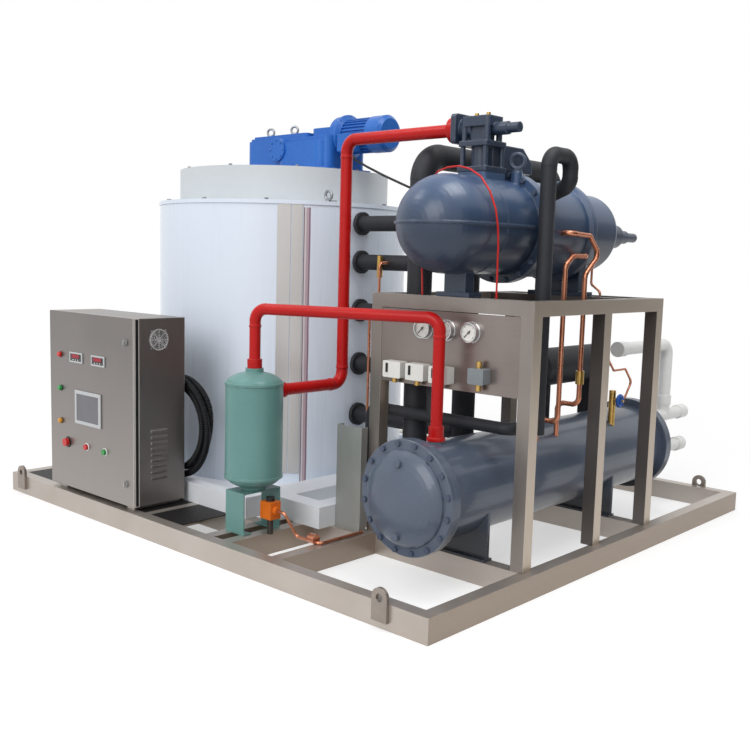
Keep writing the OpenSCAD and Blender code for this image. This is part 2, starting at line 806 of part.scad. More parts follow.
module compressor_foot(y, half) {
  translate([compressor_x, y, 0]) {
    box([-half, 0, rack_top], [half, foot_depth, rack_top + foot_t]);
    box([-half + 30, 15, rack_top],
      [half - 30, foot_depth - 15, compressor_z - compressor_r + 60]);
  }
}

module compressor_casing() {
  rib = 7;
  seam_y = rack_y + 98;
  neck = 76;
  color("#4d5866") union() {
    along_y([compressor_x, casing_tip, compressor_z]) compressor_outline(0);
    intersection() {
      along_y([compressor_x, casing_tip, compressor_z]) compressor_outline(rib);
      box([compressor_x - 300, casing_tip - 20, compressor_z - 5],
        [compressor_x + 300, split_y - 60, compressor_z + 5]);
    }
    along_y([compressor_x, seam_y, compressor_z]) cylinder(r = compressor_r + 2, h = 10, $fn = 96);
    along_y([compressor_x, split_y - split_flange_t, compressor_z])
      cylinder(r = compressor_flange_r, h = split_flange_t, $fn = 96);
    compressor_foot(front_foot_y, front_foot_half);
    translate([compressor_x + eye_dx, eye_y, compressor_z]) cylinder(r = 24, h = eye_seat - compressor_z);
    translate([compressor_x, column_y, compressor_z])
      rounded_plate(2 * neck, 2 * neck, column_base - compressor_z, 20);
  }
}

module compressor_motor_case() {
  dome = 60;
  arc = ellipse_arc(bell_r, dome, 8);
  straight = bell_end - split_y - dome;
  step = motor_case_end - split_y;
  color("#4a5562") union() {
    along_y([compressor_x, split_y, compressor_z]) rotate_extrude($fn = 96)
      polygon(concat([[0, 0], [compressor_flange_r, 0], [compressor_flange_r, split_flange_t],
        [motor_case_r, split_flange_t + 12], [motor_case_r, step - 40], [compressor_flange_r - 8, step - 28],
        [compressor_flange_r - 8, step], [bell_r, step + 14]], [for (p = arc) [p[0], straight + p[1]]]));
    compressor_foot(rail_y - 15, foot_half);
    for (a = [25, -5, -35]) translate([compressor_x, split_y + 105, compressor_z]) rotate([0, a - 90, 0])
      translate([0, 0, motor_case_r - 8]) cylinder(r = 26, h = 24);
  }
}

module terminal_box() {
  width = 150;
  front_y = column_y + 120;
  back_y = front_y + 222;
  low = compressor_z + compressor_flange_r + touch_gap;
  high = compressor_z + 347;
  color("#4a5562") translate([compressor_x - 125, 0, 0]) rotate([90, 0, 90]) linear_extrude(height = width)
    polygon([[front_y, low], [back_y, low], [back_y, high - 60], [back_y - 75, high], [front_y, high]]);
}

module stop_valves() {
  spindle = 115;
  spindle_z = valve_z - 8;
  body_low = column_base + 125;
  cap_t = 42;
  color("#465160") union() {
    translate([compressor_x, column_y, column_base]) rounded_plate(156, 156, 22, 14);
    translate([compressor_x, column_y, column_base]) cylinder(r = 46, h = body_low - column_base + 10);
    for (sx = [-1, 1], sy = [-1, 1]) translate([compressor_x, column_y, 0]) {
      translate([sx * 58, sy * 58, column_base]) cylinder(r = 11, h = body_low - column_base - 10);
      translate([sx * 58 - 5, sy * 42, body_low - 10]) cylinder(r = 13, h = column_top - body_low - 10);
    }
    translate([compressor_x, column_y, body_low - 20]) rounded_plate(150, 150, 22, 14);
    translate([compressor_x - 5, column_y, body_low]) rounded_plate(100, 70, column_top - body_low, 22);
    translate([compressor_x - 5, column_y, column_top - cap_t]) rounded_plate(150, 112, cap_t, 22);
    along_x([valve_x, column_y, valve_z]) rounded_plate(2 * valve_half, 2 * valve_half, 26, 16);
    along_x([valve_x, column_y, valve_z]) cylinder(r = 44, h = 90);
    along_x([compressor_x + 30, column_y, spindle_z]) cylinder(r = 27, h = spindle - 15);
    along_x([compressor_x + 115, column_y, spindle_z]) cylinder(r = 21, h = spindle - 45);
  }
  color("#465160") translate([compressor_x, bell_end, suction_port_z]) union() {
    along_y([0, 0, 0]) cylinder(r = 74, h = 26);
    along_y([0, 0, 0]) cylinder(r = suction_body_r, h = 250);
    along_y([0, 240, 0]) cylinder(r = 34, h = 120);
    along_y([0, 355, 0]) cylinder(r = 24, h = 110);
  }
}

// Insulated pipes
module suction_pipe() {
  port = [compressor_x - 20, suction_port_y, suction_port_z];
  color("#26272a") difference() {
    pipe_run([[header_x, stub_y, header_top], [header_x, stub_y, header_low],
      [header_x, suction_y, header_low], [header_x, suction_y, suction_high],
      [header_x, suction_port_y, suction_high],
      [header_x, suction_port_y, suction_port_z], port], suction_r, 110);
    along_y([compressor_x, bell_end, suction_port_z]) cylinder(r = suction_body_r + touch_gap, h = 300);
  }
}

module drum_stubs() {
  pipe_start = drum_x + jacket_r - 60;
  pipe_end = header_x - 20;
  color("#2a2b2e") difference() {
    for (z = stub_heights) {
      along_x([pipe_start, stub_y, z]) cylinder(r = stub_r, h = pipe_end - pipe_start);
      along_x([stub_flange_x, stub_y, z]) cylinder(r = stub_flange_r, h = stub_flange_t);
    }
    translate([drum_x, drum_y, drum_seat])
      cylinder(r = jacket_r + touch_gap, h = jacket_height, $fn = 160);
    translate([header_x, stub_y, header_low])
      cylinder(r = suction_r + touch_gap, h = header_top - header_low);
  }
}

module insulated_lines() {
  arch_y = rack_y + 443;
  entry = [compressor_x + 130, arch_y, compressor_z + 125];
  branch_r = 26;
  bend = 50;
  dome = 35;
  arc = ellipse_arc(vessel_r, dome, 8);
  length = vessel_back - vessel_front;
  color("#232427") difference() {
    union() {
      pipe_run([[liquid_x, liquid_y, branch_z - 40], [liquid_x, liquid_y, liquid_high],
        [liquid_x, arch_y, liquid_high], [liquid_x, arch_y, liquid_high - 115], entry], liquid_r, bend);
      pipe_run([[liquid_x, liquid_y, branch_z], [liquid_x, branch_y, branch_z],
        [pump_mid, branch_y, branch_z], [pump_mid, branch_y, canister_z]], branch_r, bend);
      pipe_run([[vessel_x, vessel_front + 20, vessel_z], [vessel_x, branch_y, vessel_z],
        [vessel_x, branch_y, branch_z]], branch_r, bend);
      along_y([vessel_x, vessel_front, vessel_z]) rotate_extrude() polygon(concat([[0, 0]],
        [for (i = [8:-1:0]) [arc[i][0], dome - arc[i][1]]], [for (p = arc) [p[0], length - dome + p[1]]]));
      for (y = [vessel_front + 90, vessel_back - 110])
        box([vessel_x - 45, y, condenser_z + 80], [vessel_x + 45, y + 24, vessel_z]);
    }
    along_y([compressor_x, split_y, compressor_z])
      cylinder(r = motor_case_r + touch_gap, h = motor_case_end - split_y, $fn = 96);
    along_y([condenser_x, condenser_front, condenser_z])
      cylinder(r = condenser_r + touch_gap, h = condenser_length, $fn = 96);
    along_y([pump_mid, pump_y, canister_z]) cylinder(r = canister_r + touch_gap, h = 160);
  }
}

// Copper lines
module copper_lines() {
  oil_y = separator_y + 10;
  oil_z = beam_height + 112;
  low = beam_height + copper_r + elbow_grow + touch_gap;
  stub_face = stub_y - stub_r - touch_gap;
  side = compressor_x + compressor_flange_r + 18;
  first_y = port_y + 53;
  second_y = port_y - 116;
  third_x = condenser_x + 120;
  shell_z = condenser_z + sqrt(pow(condenser_r, 2) - pow(120, 2)) + touch_gap;
  loop_y = rail_y + 150;
  color("#b8623a") union() {
    pipe_run([[bracket_right + 96, oil_y, oil_z], [bracket_right + 140, oil_y, oil_z],
      [bracket_right + 180, oil_y + 40, low], [rack_left + 30, oil_y + 40, low],
      [rack_left + 30, rack_y - 60, low]], copper_r, 20);
    along_x([rack_left - 30, oil_y + 40, beam_height + 22]) cylinder(r = 22, h = 38);
  }
  color("#b8623a") difference() {
    union() {
      pipe_run([[side - 50, first_y - 132, compressor_z - 16], [side, first_y - 132, compressor_z - 16],
        [side, first_y + 24, compressor_z - 23], [side, first_y + 112, compressor_z - 103],
        [side, first_y, compressor_z - 193], [side, first_y, 705], [third_x, first_y, 705],
        [third_x, first_y, shell_z - 20]], port_line_r, 34);
      pipe_run([[side - 100, first_y + 20, compressor_z - 112], [side, first_y + 20, compressor_z - 112],
        [side, second_y + 60, compressor_z - 114], [side, second_y, compressor_z - 155],
        [side, second_y, 645], [third_x, second_y, 645], [third_x, second_y, shell_z - 20]],
        port_line_r, 34);
    }
    along_y([compressor_x, split_y, compressor_z])
      cylinder(r = motor_case_r + touch_gap, h = motor_case_end - split_y, $fn = 96);
    along_y([condenser_x, condenser_front, condenser_z])
      cylinder(r = condenser_r + touch_gap, h = condenser_length, $fn = 96);
  }
  color("#b8623a") difference() {
    pipe_run([[condenser_x + 70, loop_y, compressor_z - 130], [condenser_x + 70, loop_y, rack_top + 55],
      [third_x, loop_y, rack_top + 20], [third_x, loop_y, 990], [third_x, loop_y + 180, 815],
      [third_x, loop_y + 300, 815], [third_x, loop_y + 370, 745], [third_x, loop_y + 310, 668],
      [third_x, wheel_y + 17, 668]], copper_r - 1.5, 22);
    along_y([compressor_x, split_y, compressor_z])
      cylinder(r = bell_r + touch_gap, h = bell_end - split_y, $fn = 96);
  }
  for (x = [200, 260], top = x < 250 ? stub_heights[2] : stub_heights[3]) color("#b8623a")
    pipe_run([[x, stub_face, top], [x, stub_face - 65, top], [x, stub_face - 65, stub_heights[0]],
      [x, stub_face, stub_heights[0]]], copper_r, 26);
}

// Brass fittings with the stem of the blue handwheel
module brass_valves() {
  side = compressor_x + compressor_flange_r + 18;
  color("#b08a3c") {
    for (x = [-35, 25]) translate([compressor_x + x, column_y, column_top]) cylinder(r = 9, h = 18);
    translate([215, stub_y - stub_r - 15 - touch_gap, stub_heights[3] - 75]) cylinder(r = 15, h = 110);
    difference() {
      translate([side, port_y + 53, 800]) cylinder(r = 19, h = 60);
      translate([side, port_y + 53, 790]) cylinder(r = port_line_r + touch_gap, h = 80);
    }
    difference() {
      union() {
        translate([wheel_x, wheel_y, condenser_z + 100]) cylinder(r = 17, h = 230);
        along_x([wheel_x, wheel_y, wheel_z]) cylinder(r = wheel_pin_r, h = 62);
        along_x([wheel_x, wheel_y, wheel_z]) cylinder(r = 13, h = 28);
      }
      along_y([condenser_x, condenser_front, condenser_z])
        cylinder(r = condenser_r + touch_gap, h = condenser_length, $fn = 96);
    }
  }
}

module valve_handwheel() {
  wheel_r = 34;
  grip = 8;
  color("#2060b8") along_x([wheel_x + 34, wheel_y, wheel_z]) difference() {
    union() {
      rotate_extrude() translate([wheel_r - grip, grip]) circle(r = grip);
      cylinder(r = 12, h = 18);
      for (a = [0:60:150]) rotate([0, 0, a])
        translate([-wheel_r + grip, -4, 4]) cube([2 * (wheel_r - grip), 8, 8]);
    }
    translate([0, 0, -1]) cylinder(r = wheel_pin_r + run_gap, h = 30);
  }
}

module water_pipes() {
  pipe_x = condenser_x + 85;
  high = condenser_z + 135;
  low = condenser_z - 50;
  start = condenser_rear + 40;
  end = condenser_rear + 470;
  tee_y = end - 240;
  turn_z = 913;
  socket = 80;
  color("#eeeeec") difference() {
    union() {
      for (z = [high, low]) {
        along_y([pipe_x, start, z]) cylinder(r = water_r, h = end - start);
        along_y([pipe_x, end - 70, z]) cylinder(r = water_r + 6, h = 70);
        along_y([pipe_x, condenser_rear + 100, z]) cylinder(r = water_r + 6, h = 45);
      }
      pipe_run([[pipe_x, tee_y, high], [pipe_x, tee_y, turn_z], [pipe_x, tee_y - 560, turn_z]], water_r, 60);
      translate([pipe_x, tee_y, high + 60]) cylinder(r = water_r + 6, h = 50);
      along_y([pipe_x, tee_y - 560, turn_z]) cylinder(r = water_r + 6, h = 60);
    }
    condenser_rear_head();
    for (z = [high, low]) along_y([pipe_x, end - socket, z]) cylinder(r = water_r - 6, h = socket + 1);
  }
}

// Instrument panel
module instrument_panel() {
  color("#a89f93") box([panel_left, panel_face, panel_low], [panel_right, panel_face + panel_t, panel_high]);
}

module gauges() {
  color("#d8d8d6") for (s = gauge_spots)
    facing_front([panel_left + s, panel_face, gauge_z]) difference() {
      union() {
        cylinder(r = gauge_r, h = gauge_depth);
        cylinder(r = gauge_r + 3, h = 4);
      }
      translate([0, 0, gauge_depth - 10]) difference() {
        cylinder(r = gauge_r - 5, h = 11);
        cylinder(r = gauge_pin_r, h = 7);
      }
    }
}

module gauge_needle(s) {
  color("#1a1a1a") facing_front([panel_left + s, panel_face - gauge_depth + 7, gauge_z]) difference() {
    union() {
      cylinder(r = 5, h = 2);
      rotate([0, 0, 225]) translate([-12, -1.2, 0]) cube([42, 2.4, 2]);
    }
    translate([0, 0, -1]) cylinder(r = gauge_pin_r + run_gap, h = 4);
  }
}
module gauge_needle_1() { gauge_needle(gauge_spots[0]); }
module gauge_needle_2() { gauge_needle(gauge_spots[1]); }
module gauge_needle_3() { gauge_needle(gauge_spots[2]); }

module pressure_switches() {
  color("#e2e2de") for (s = switch_spots) translate([panel_left + s, panel_face, switch_z]) {
    facing_front([0, 0, 0]) rounded_plate(100, 72, 48, 6);
    translate([0, -24, -58]) cylinder(r = 12, h = 30);
  }
}

module oil_pressure_switch() {
  color("#8d9296") translate([panel_right - 176, panel_face, 874]) {
    facing_front([0, 0, 0]) rounded_plate(78, 66, 50, 6);
    translate([0, -25, -60]) cylinder(r = 12, h = 120);
  }
}

module red_hose() {
  color("#c8202a") swept_tube(hose_route, hose_r, 8);
}

// Pump bracket and canister
module pump_bracket() {
  color("#9aa0a4") union() {
    box([pump_left, pump_y, beam_height], [pump_left + pump_width, pump_y + pump_t, pump_top]);
    box([pump_left, pump_y, beam_height], [pump_left + pump_width, pump_y + 50, beam_height + pump_t]);
    for (x = [pump_left, pump_left + pump_width - pump_t])
      box([x, pump_y, beam_height], [x + pump_t, pump_y + 40, pump_top]);
  }
}

module canister() {
  color("#28292c") along_y([pump_mid, pump_y + pump_t, canister_z]) union() {
    cylinder(r = canister_r, h = 150);
    cylinder(r = canister_r + 2, h = 14);
  }
}

module hose_coil() {
  corner = 28;
  width = coil_outer - coil_inner;
  color("#1c1c1e") along_y([coil_x, coil_y - coil_width / 2, base_top + coil_outer + touch_gap])
    rotate_extrude($fn = 96) translate([coil_inner, 0]) {
      translate([0, corner]) square([width, coil_width - 2 * corner]);
      translate([corner, 0]) square([width - 2 * corner, coil_width]);
      for (x = [corner, width - corner], y = [corner, coil_width - corner])
        translate([x, y]) circle(r = corner, $fn = 32);
    }
}

// Control cabinet
module hinge_spans(z, start) {
  for (k = [start:2:2]) translate([hinge_x, hinge_y, z + k * knuckle]) children();
}

module cabinet_body() {
  louvres = 9;
  louvre_y = cabinet_back - 195;
  louvre_low = cabinet_low + 127;
  louvre_step = 29;
  color("#aaa195") union() {
    difference() {
      box([cabinet_left, cabinet_front, cabinet_low], [cabinet_right, cabinet_back, cabinet_high]);
      box([cabinet_left + sheet, cabinet_front + sheet, cabinet_low + sheet],
        [cabinet_right - sheet, cabinet_back - sheet, cabinet_high - sheet]);
      box([cabinet_left + lip, cabinet_front - 1, cabinet_low + lip],
        [cabinet_right - lip, cabinet_front + 10, cabinet_high - lip]);
      along_x([cabinet_right - 10, fan_y, fan_z]) cylinder(r = fan_r, h = 20);
    }
    for (x = [cabinet_left + 40, cabinet_right - 100])
      box([x, cabinet_front, beam_height], [x + 60, cabinet_back, cabinet_low]);
    for (k = [0:louvres - 1]) translate([cabinet_right, louvre_y, louvre_low + k * louvre_step])
      rotate([0, 30, 0]) translate([-4, 0, -6]) cube([8, 92, 12]);
    for (z = hinge_heights) {
      hinge_spans(z, 0) difference() {
        union() {
          cylinder(r = hinge_r, h = knuckle - 1);
          box([0, -hinge_r + 8, 0], [9, hinge_r + 20, knuckle - 1]);
        }
        translate([0, 0, -1]) cylinder(r = hinge_pin_r, h = knuckle + 2);
      }
      translate([hinge_x, hinge_y, z]) cylinder(r = hinge_pin_r, h = 3 * knuckle - 1);
    }
  }
}

module switchgear() {
  plate_y = cabinet_back - sheet - 12;
  color("#c9c9c4") union() {
    box([cabinet_left + 60, plate_y, cabinet_low + 60],
      [cabinet_right - 60, plate_y + 12, cabinet_high - 60]);
    for (row = [0:2], k = [0:5])
      translate([cabinet_left + 110 + k * 85, plate_y - 80, cabinet_low + 130 + row * 210])
        cube([68, 81, 120]);
    for (row = [0:3]) translate([0, 0, cabinet_low + 80 + row * 210])
      box([cabinet_left + 80, plate_y - 45, 0], [cabinet_right - 150, plate_y + 1, 35]);
  }
}

module fan_guard() {
  color("#2a2a2a") along_x([cabinet_right, fan_y, fan_z]) union() {
    difference() {
      cylinder(r = fan_r + 6, h = 5);
      translate([0, 0, -1]) cylinder(r = fan_r - 2, h = 8);
    }
    for (r = [20, 29, 38]) difference() {
      translate([0, 0, 1]) cylinder(r = r + 1.6, h = 3);
      cylinder(r = r - 1.6, h = 6);
    }
    for (a = [0:45:135]) rotate([0, 0, a]) translate([-fan_r, -2, 1]) cube([2 * fan_r, 4, 3]);
    translate([0, 0, -38]) cylinder(r = fan_pin_r, h = 40);
    cylinder(r = 13, h = 4);
  }
}

module fan_rotor() {
  blades = 7;
  color("#1e1f21") along_x([cabinet_right, fan_y, fan_z]) translate([0, 0, -34]) difference() {
    union() {
      cylinder(r = 18, h = 24);
      for (k = [0:blades - 1]) rotate([0, 0, 360 * k / blades]) translate([14, 0, 12]) rotate([35, 0, 0])
        translate([0, -9, -1]) cube([fan_r - 20, 18, 2]);
    }
    translate([0, 0, -1]) cylinder(r = fan_pin_r + run_gap, h = 30);
  }
}

module cabinet_door() {
  door_back = door_face + door_depth;
  color("#aaa195") union() {
    difference() {
      box([cabinet_left, door_face, cabinet_low], [cabinet_right, door_back, cabinet_high]);
      box([cabinet_left + sheet, door_face + sheet, cabinet_low + sheet],
        [cabinet_right - sheet, door_back + 1, cabinet_high - sheet]);
      for (p = [estop_spot, stop_spot, start_spot])
        along_y([p[0], door_face - 1, p[1]]) cylinder(r = stem_r + touch_gap, h = 10);
      for (z = lock_heights) along_y([lock_x, door_face - 1, z]) cylinder(r = lock_r + touch_gap, h = 10);
    }
    for (z = hinge_heights) hinge_spans(z, 1) difference() {
      union() {
        translate([0, 0, 0.5]) cylinder(r = hinge_r, h = knuckle - 2);
        box([0, -hinge_r - 15, 0.5], [9, 0, knuckle - 1.5]);
      }
      translate([0, 0, -1]) cylinder(r = hinge_pin_r + run_gap, h = knuckle + 2);
    }
  }
}

module displays() {
  color("#1f2226") {
    for (p = display_spots)
      translate([p[0], door_face - 6, p[1]]) cube([display_size[0], 6, display_size[1]]);
    translate([screen_spot[0], door_face - 8, screen_spot[1]]) cube([screen_size[0], 8, screen_size[1]]);
  }
}

module indicator_lamps() {
  color("#c9302c") for (z = lamp_heights) facing_front([control_left, door_face, z]) union() {
    cylinder(r = lamp_r + 3, h = 4);
    cylinder(r = lamp_r, h = 14);
    translate([0, 0, 13]) cylinder(r1 = lamp_r, r2 = lamp_r - 5, h = 5);
  }
}

module push_button(p, cap_r, cap_h, travel) {
  facing_front([p[0], door_face, p[1]]) union() {
    translate([0, 0, -15]) cylinder(r = stem_r, h = 16 + travel + touch_gap);
    translate([0, 0, travel + touch_gap]) cylinder(r = cap_r, h = cap_h);
  }
}
module estop_button() { color("#c8202a") push_button(estop_spot, 20, 18, estop_travel); }
module stop_button() { color("#c8202a") push_button(stop_spot, 14, 9, button_travel); }
module start_button() { color("#2f9a4a") push_button(start_spot, 14, 9, button_travel); }

module door_lock(z) {
  color("#8a8a88") facing_front([lock_x, door_face, z]) union() {
    translate([0, 0, -18]) cylinder(r = lock_r, h = 22);
    translate([0, 0, touch_gap]) cylinder(r = lock_r + 5, h = 6);
    translate([-3, -lock_r - 3, 6]) cube([6, 2 * lock_r + 6, 8]);
    translate([-7, -lock_r, -18]) cube([14, lock_r + 12, 4]);
  }
}
module upper_lock() { door_lock(lock_heights[1]); }
module lower_lock() { door_lock(lock_heights[0]); }

// Rack of square tube
module compressor_stand() {
  rail_low = rack_top - post;
  color("#b1a99e") union() {
    for (x = [rack_left, rack_right - post], y = [rack_y, rack_back - post])
      box([x, y, beam_height], [x + post, y + post, rack_top]);
    box([rack_right - post, rack_mid, beam_height], [rack_right, rack_mid + post, rack_top]);
    for (x = [rack_left, rack_right - post]) box([x, rack_y, rail_low], [x + post, rack_back, rack_top]);
    for (y = [rack_y, rack_back - post, rail_y])
      box([rack_left, y, rail_low], [rack_right, y + post, rack_top]);
  }
}

skid_frame();
lifting_lugs();
floor_plate();
drum_base();
water_tank();
compressor_stand();
drum_jacket();
seam_covers();
upper_casing();
evaporator();
bearing_spider();
main_shaft();
ice_scraper();
blade_roller();
gear_reducer();
drive_motor();
motor_lead();
fasteners();
hot_gas_riser();
hot_gas_drop();
oil_separator();
separator_bracket();
oil_valve();
condenser_shell();
condenser_front_head();
condenser_rear_head();
compressor_casing();
compressor_motor_case();
terminal_box();
stop_valves();
suction_pipe();
drum_stubs();
insulated_lines();
copper_lines();
brass_valves();
valve_handwheel();
water_pipes();
instrument_panel();
gauges();
gauge_needle_1();
gauge_needle_2();
gauge_needle_3();
pressure_switches();
oil_pressure_switch();
red_hose();
pump_bracket();
canister();
hose_coil();
cabinet_body();
switchgear();
fan_guard();
fan_rotor();
cabinet_door();
displays();
indicator_lamps();
estop_button();
stop_button();
start_button();
upper_lock();
lower_lock();
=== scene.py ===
import math
import bmesh
import bpy
from mathutils import Matrix, Vector


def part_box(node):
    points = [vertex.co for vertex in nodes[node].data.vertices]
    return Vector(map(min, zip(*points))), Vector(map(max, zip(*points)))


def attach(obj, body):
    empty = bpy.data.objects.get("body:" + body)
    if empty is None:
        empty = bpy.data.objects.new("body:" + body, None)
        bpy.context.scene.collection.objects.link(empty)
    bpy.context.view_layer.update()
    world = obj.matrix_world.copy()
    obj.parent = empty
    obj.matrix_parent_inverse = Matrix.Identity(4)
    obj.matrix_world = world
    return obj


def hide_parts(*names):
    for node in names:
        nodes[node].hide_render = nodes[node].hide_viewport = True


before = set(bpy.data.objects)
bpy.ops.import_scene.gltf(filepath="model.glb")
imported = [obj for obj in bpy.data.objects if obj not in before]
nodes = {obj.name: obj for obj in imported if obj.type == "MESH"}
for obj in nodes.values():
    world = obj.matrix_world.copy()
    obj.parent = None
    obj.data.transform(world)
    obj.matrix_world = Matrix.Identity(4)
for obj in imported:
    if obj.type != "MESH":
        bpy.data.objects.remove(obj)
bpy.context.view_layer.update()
scene = bpy.context.scene
scene.view_settings.view_transform = "Standard"
print("frame loaded:", len(nodes), "nodes")

# camera at the photograph's viewing angle, lens and sensor in millimetres
photoCamera = {"spot": (3.4681, -3.8196, 1.3314), "lens": 45.376, "sensor": 36, "sight": 200,
               "azimuth": 42.3382, "elevation": 6.9669, "roll": 1.5491}


def placeCamera(c):
    az, el, roll = (math.radians(c[k]) for k in ("azimuth", "elevation", "roll"))
    forward = Vector((-math.sin(az) * math.cos(el), math.cos(az) * math.cos(el), -math.sin(el)))
    right = forward.cross(Vector((0, 0, 1))).normalized()
    up = right.cross(forward)
    camX = math.cos(roll) * right + math.sin(roll) * up
    camY = math.cos(roll) * up - math.sin(roll) * right
    data = bpy.data.cameras.new("photoCamera")
    data.sensor_width = c["sensor"]
    data.sensor_fit = "HORIZONTAL"
    data.lens = c["lens"]
    data.clip_end = c["sight"]
    camera = bpy.data.objects.new("photoCamera", data)
    camera.matrix_world = Matrix.Translation(c["spot"]) @ Matrix((camX, camY, -forward)).transposed().to_4x4()
    scene.collection.objects.link(camera)
    scene.camera = camera


placeCamera(photoCamera)


# colours are written as they look on screen, 0 to 255
def tint(r, g, b):
    def lin(v):
        v /= 255
        return v / 12.92 if v <= 0.04045 else ((v + 0.055) / 1.055) ** 2.4
    return (lin(r), lin(g), lin(b), 1)


# one node with its inputs, by name or as _0, _1 ... by number
def wire(tree, kind, **inputs):
    node = tree.nodes.new(kind)
    for key, value in inputs.items():
        socket = node.inputs[int(key[1:])] if key[0] == "_" else node.inputs[key]
        if isinstance(value, bpy.types.NodeSocket):
            tree.links.new(value, socket)
        else:
            socket.default_value = value
    return node


def sums(tree, operation, *values):
    node = wire(tree, "ShaderNodeMath", **{"_%d" % i: v for i, v in enumerate(values)})
    node.operation = operation
    return node.outputs[0]


def grain(tree, coords, scale, detail=4):
    spread = wire(tree, "ShaderNodeMapping", Vector=coords, Scale=scale)
    return wire(tree, "ShaderNodeTexNoise", Vector=spread.outputs[0], Scale=1, Detail=detail).outputs[0]


def spanned(tree, value, low, high, a, b):
    return wire(tree, "ShaderNodeMapRange", _0=value, _1=low, _2=high, _3=a, _4=b).outputs[0]


def blendColour(tree, factor, a, b):
    node = tree.nodes.new("ShaderNodeMix")
    node.data_type = "RGBA"
    for index, value in ((0, factor), (6, a), (7, b)):
        if isinstance(value, bpy.types.NodeSocket):
            tree.links.new(value, node.inputs[index])
        else:
            node.inputs[index].default_value = value
    return node.outputs[2]


def startFinish(name):
    material = bpy.data.materials.new(name)
    material.use_nodes = True
    tree = material.node_tree
    tree.nodes.clear()
    shader = tree.nodes.new("ShaderNodeBsdfPrincipled")
    wire(tree, "ShaderNodeOutputMaterial", Surface=shader.outputs[0])
    coords = tree.nodes.new("ShaderNodeTexCoord").outputs["Object"]
    return material, tree, shader, coords


# one finish: two close tones on a fine grain and a slow cloud, softened edges lightened to a third tone, partly wear
# and partly painted highlight
finishRule = {"grain": (0.3, 0.7), "hardEdge": 0.0002, "leaning": (0.6, 0.9), "wearHighlightEdge": (0.97, 0.8, 0, 0.7),
              "patches": (0.4, 0.6, 0.2, 1), "edgeSamples": 4, "coatRough": 0.08}


def finish(name, tone, shade, scale=90, cloud=3, rough=(0.3, 0.45), metal=0.0, bump=0.06, depth=0.0004, coat=0.0,
           mix=0.25, bands=(), faces=(), edgeWearAndHighlight=None, soft=0.002, gloss=0.3):
    material, tree, shader, coords = startFinish(name)
    low, high = finishRule["grain"]
    fine = grain(tree, coords, scale if isinstance(scale, tuple) else (scale,) * 3)
    slow = grain(tree, coords, (cloud,) * 3, 3)
    mixed = sums(tree, "ADD", sums(tree, "MULTIPLY", fine, mix), sums(tree, "MULTIPLY", slow, 1 - mix))
    colour = blendColour(tree, spanned(tree, mixed, low, high, 0, 1), tint(*shade), tint(*tone))
    roughness = spanned(tree, fine, low, high, *rough)
    metallic = metal
    axes = wire(tree, "ShaderNodeSeparateXYZ", Vector=coords)
    for axis, way, edge, hue, shine, *ramp in bands:  # paints one side of a plane, with a hard edge or a ramp
        reach = (ramp[0] if ramp else finishRule["hardEdge"]) * (1 if way == "above" else -1)
        side = spanned(tree, axes.outputs[axis], edge, edge + reach, 0, 1)
        colour = blendColour(tree, side, colour, tint(*hue))
        metallic = sums(tree, "ADD", sums(tree, "MULTIPLY", side, shine),
                        sums(tree, "MULTIPLY", sums(tree, "SUBTRACT", 1.0, side), metallic))
    flat = tree.nodes.new("ShaderNodeNewGeometry").outputs["Normal"]
    for axis, hue in faces:  # painted light and shade: the sides that face along this axis take another tone
        lean = wire(tree, "ShaderNodeSeparateXYZ", Vector=flat).outputs[axis]
        colour = blendColour(tree, spanned(tree, lean, *finishRule["leaning"], 0, 1), colour, tint(*hue))
    rounded = wire(tree, "ShaderNodeBevel", Radius=soft)
    rounded.samples = finishRule["edgeSamples"]
    # edges lightened to a third tone: partly wear, partly painted highlight
    if edgeWearAndHighlight:
        match = wire(tree, "ShaderNodeVectorMath", _0=rounded.outputs[0], _1=flat)
        match.operation = "DOT_PRODUCT"
        wearHighlightEdge = spanned(tree, match.outputs["Value"], *finishRule["wearHighlightEdge"])
        wearHighlightPatches = sums(tree, "MULTIPLY", wearHighlightEdge, spanned(tree, fine, *finishRule["patches"]))
        colour = blendColour(tree, wearHighlightPatches, colour, tint(*edgeWearAndHighlight))
    tree.links.new(colour, shader.inputs["Base Color"])
    tree.links.new(roughness, shader.inputs["Roughness"])
    if isinstance(metallic, bpy.types.NodeSocket):
        tree.links.new(metallic, shader.inputs["Metallic"])
    else:
        shader.inputs["Metallic"].default_value = metallic
    height = wire(tree, "ShaderNodeBump", Height=fine, Strength=bump, Distance=depth, Normal=rounded.outputs[0])
    tree.links.new(height.outputs[0], shader.inputs["Normal"])
    shader.inputs["Specular IOR Level"].default_value = gloss
    shader.inputs["Coat Weight"].default_value = coat
    shader.inputs["Coat Roughness"].default_value = finishRule["coatRough"]
    return material


# pale film over the drum; lines are angle, half width, colour and wander: the seam's dark edge and its lilac tear
drumSkin = {"axis": (-0.683, -0.08), "pale": (222, 231, 243), "deep": (213, 223, 237), "rim": 1.585,
            "streaks": (14, 14, 0.5), "cloud": (1.2, 1.2, 0.4), "sway": (1, 1, 5), "mix": 0.06,
            "rough": (0.24, 0.32), "bump": 0.15, "depth": 0.003, "coat": 0.15, "coatRough": 0.1,
            "lines": ((-33.8, 0.0035, (96, 84, 84), 0.0), (-33.3, 0.0055, (214, 202, 207), 0.0),
                      (-32.35, 0.0105, (182, 162, 170), 0.004), (-31.5, 0.006, (140, 114, 130), 0.008))}


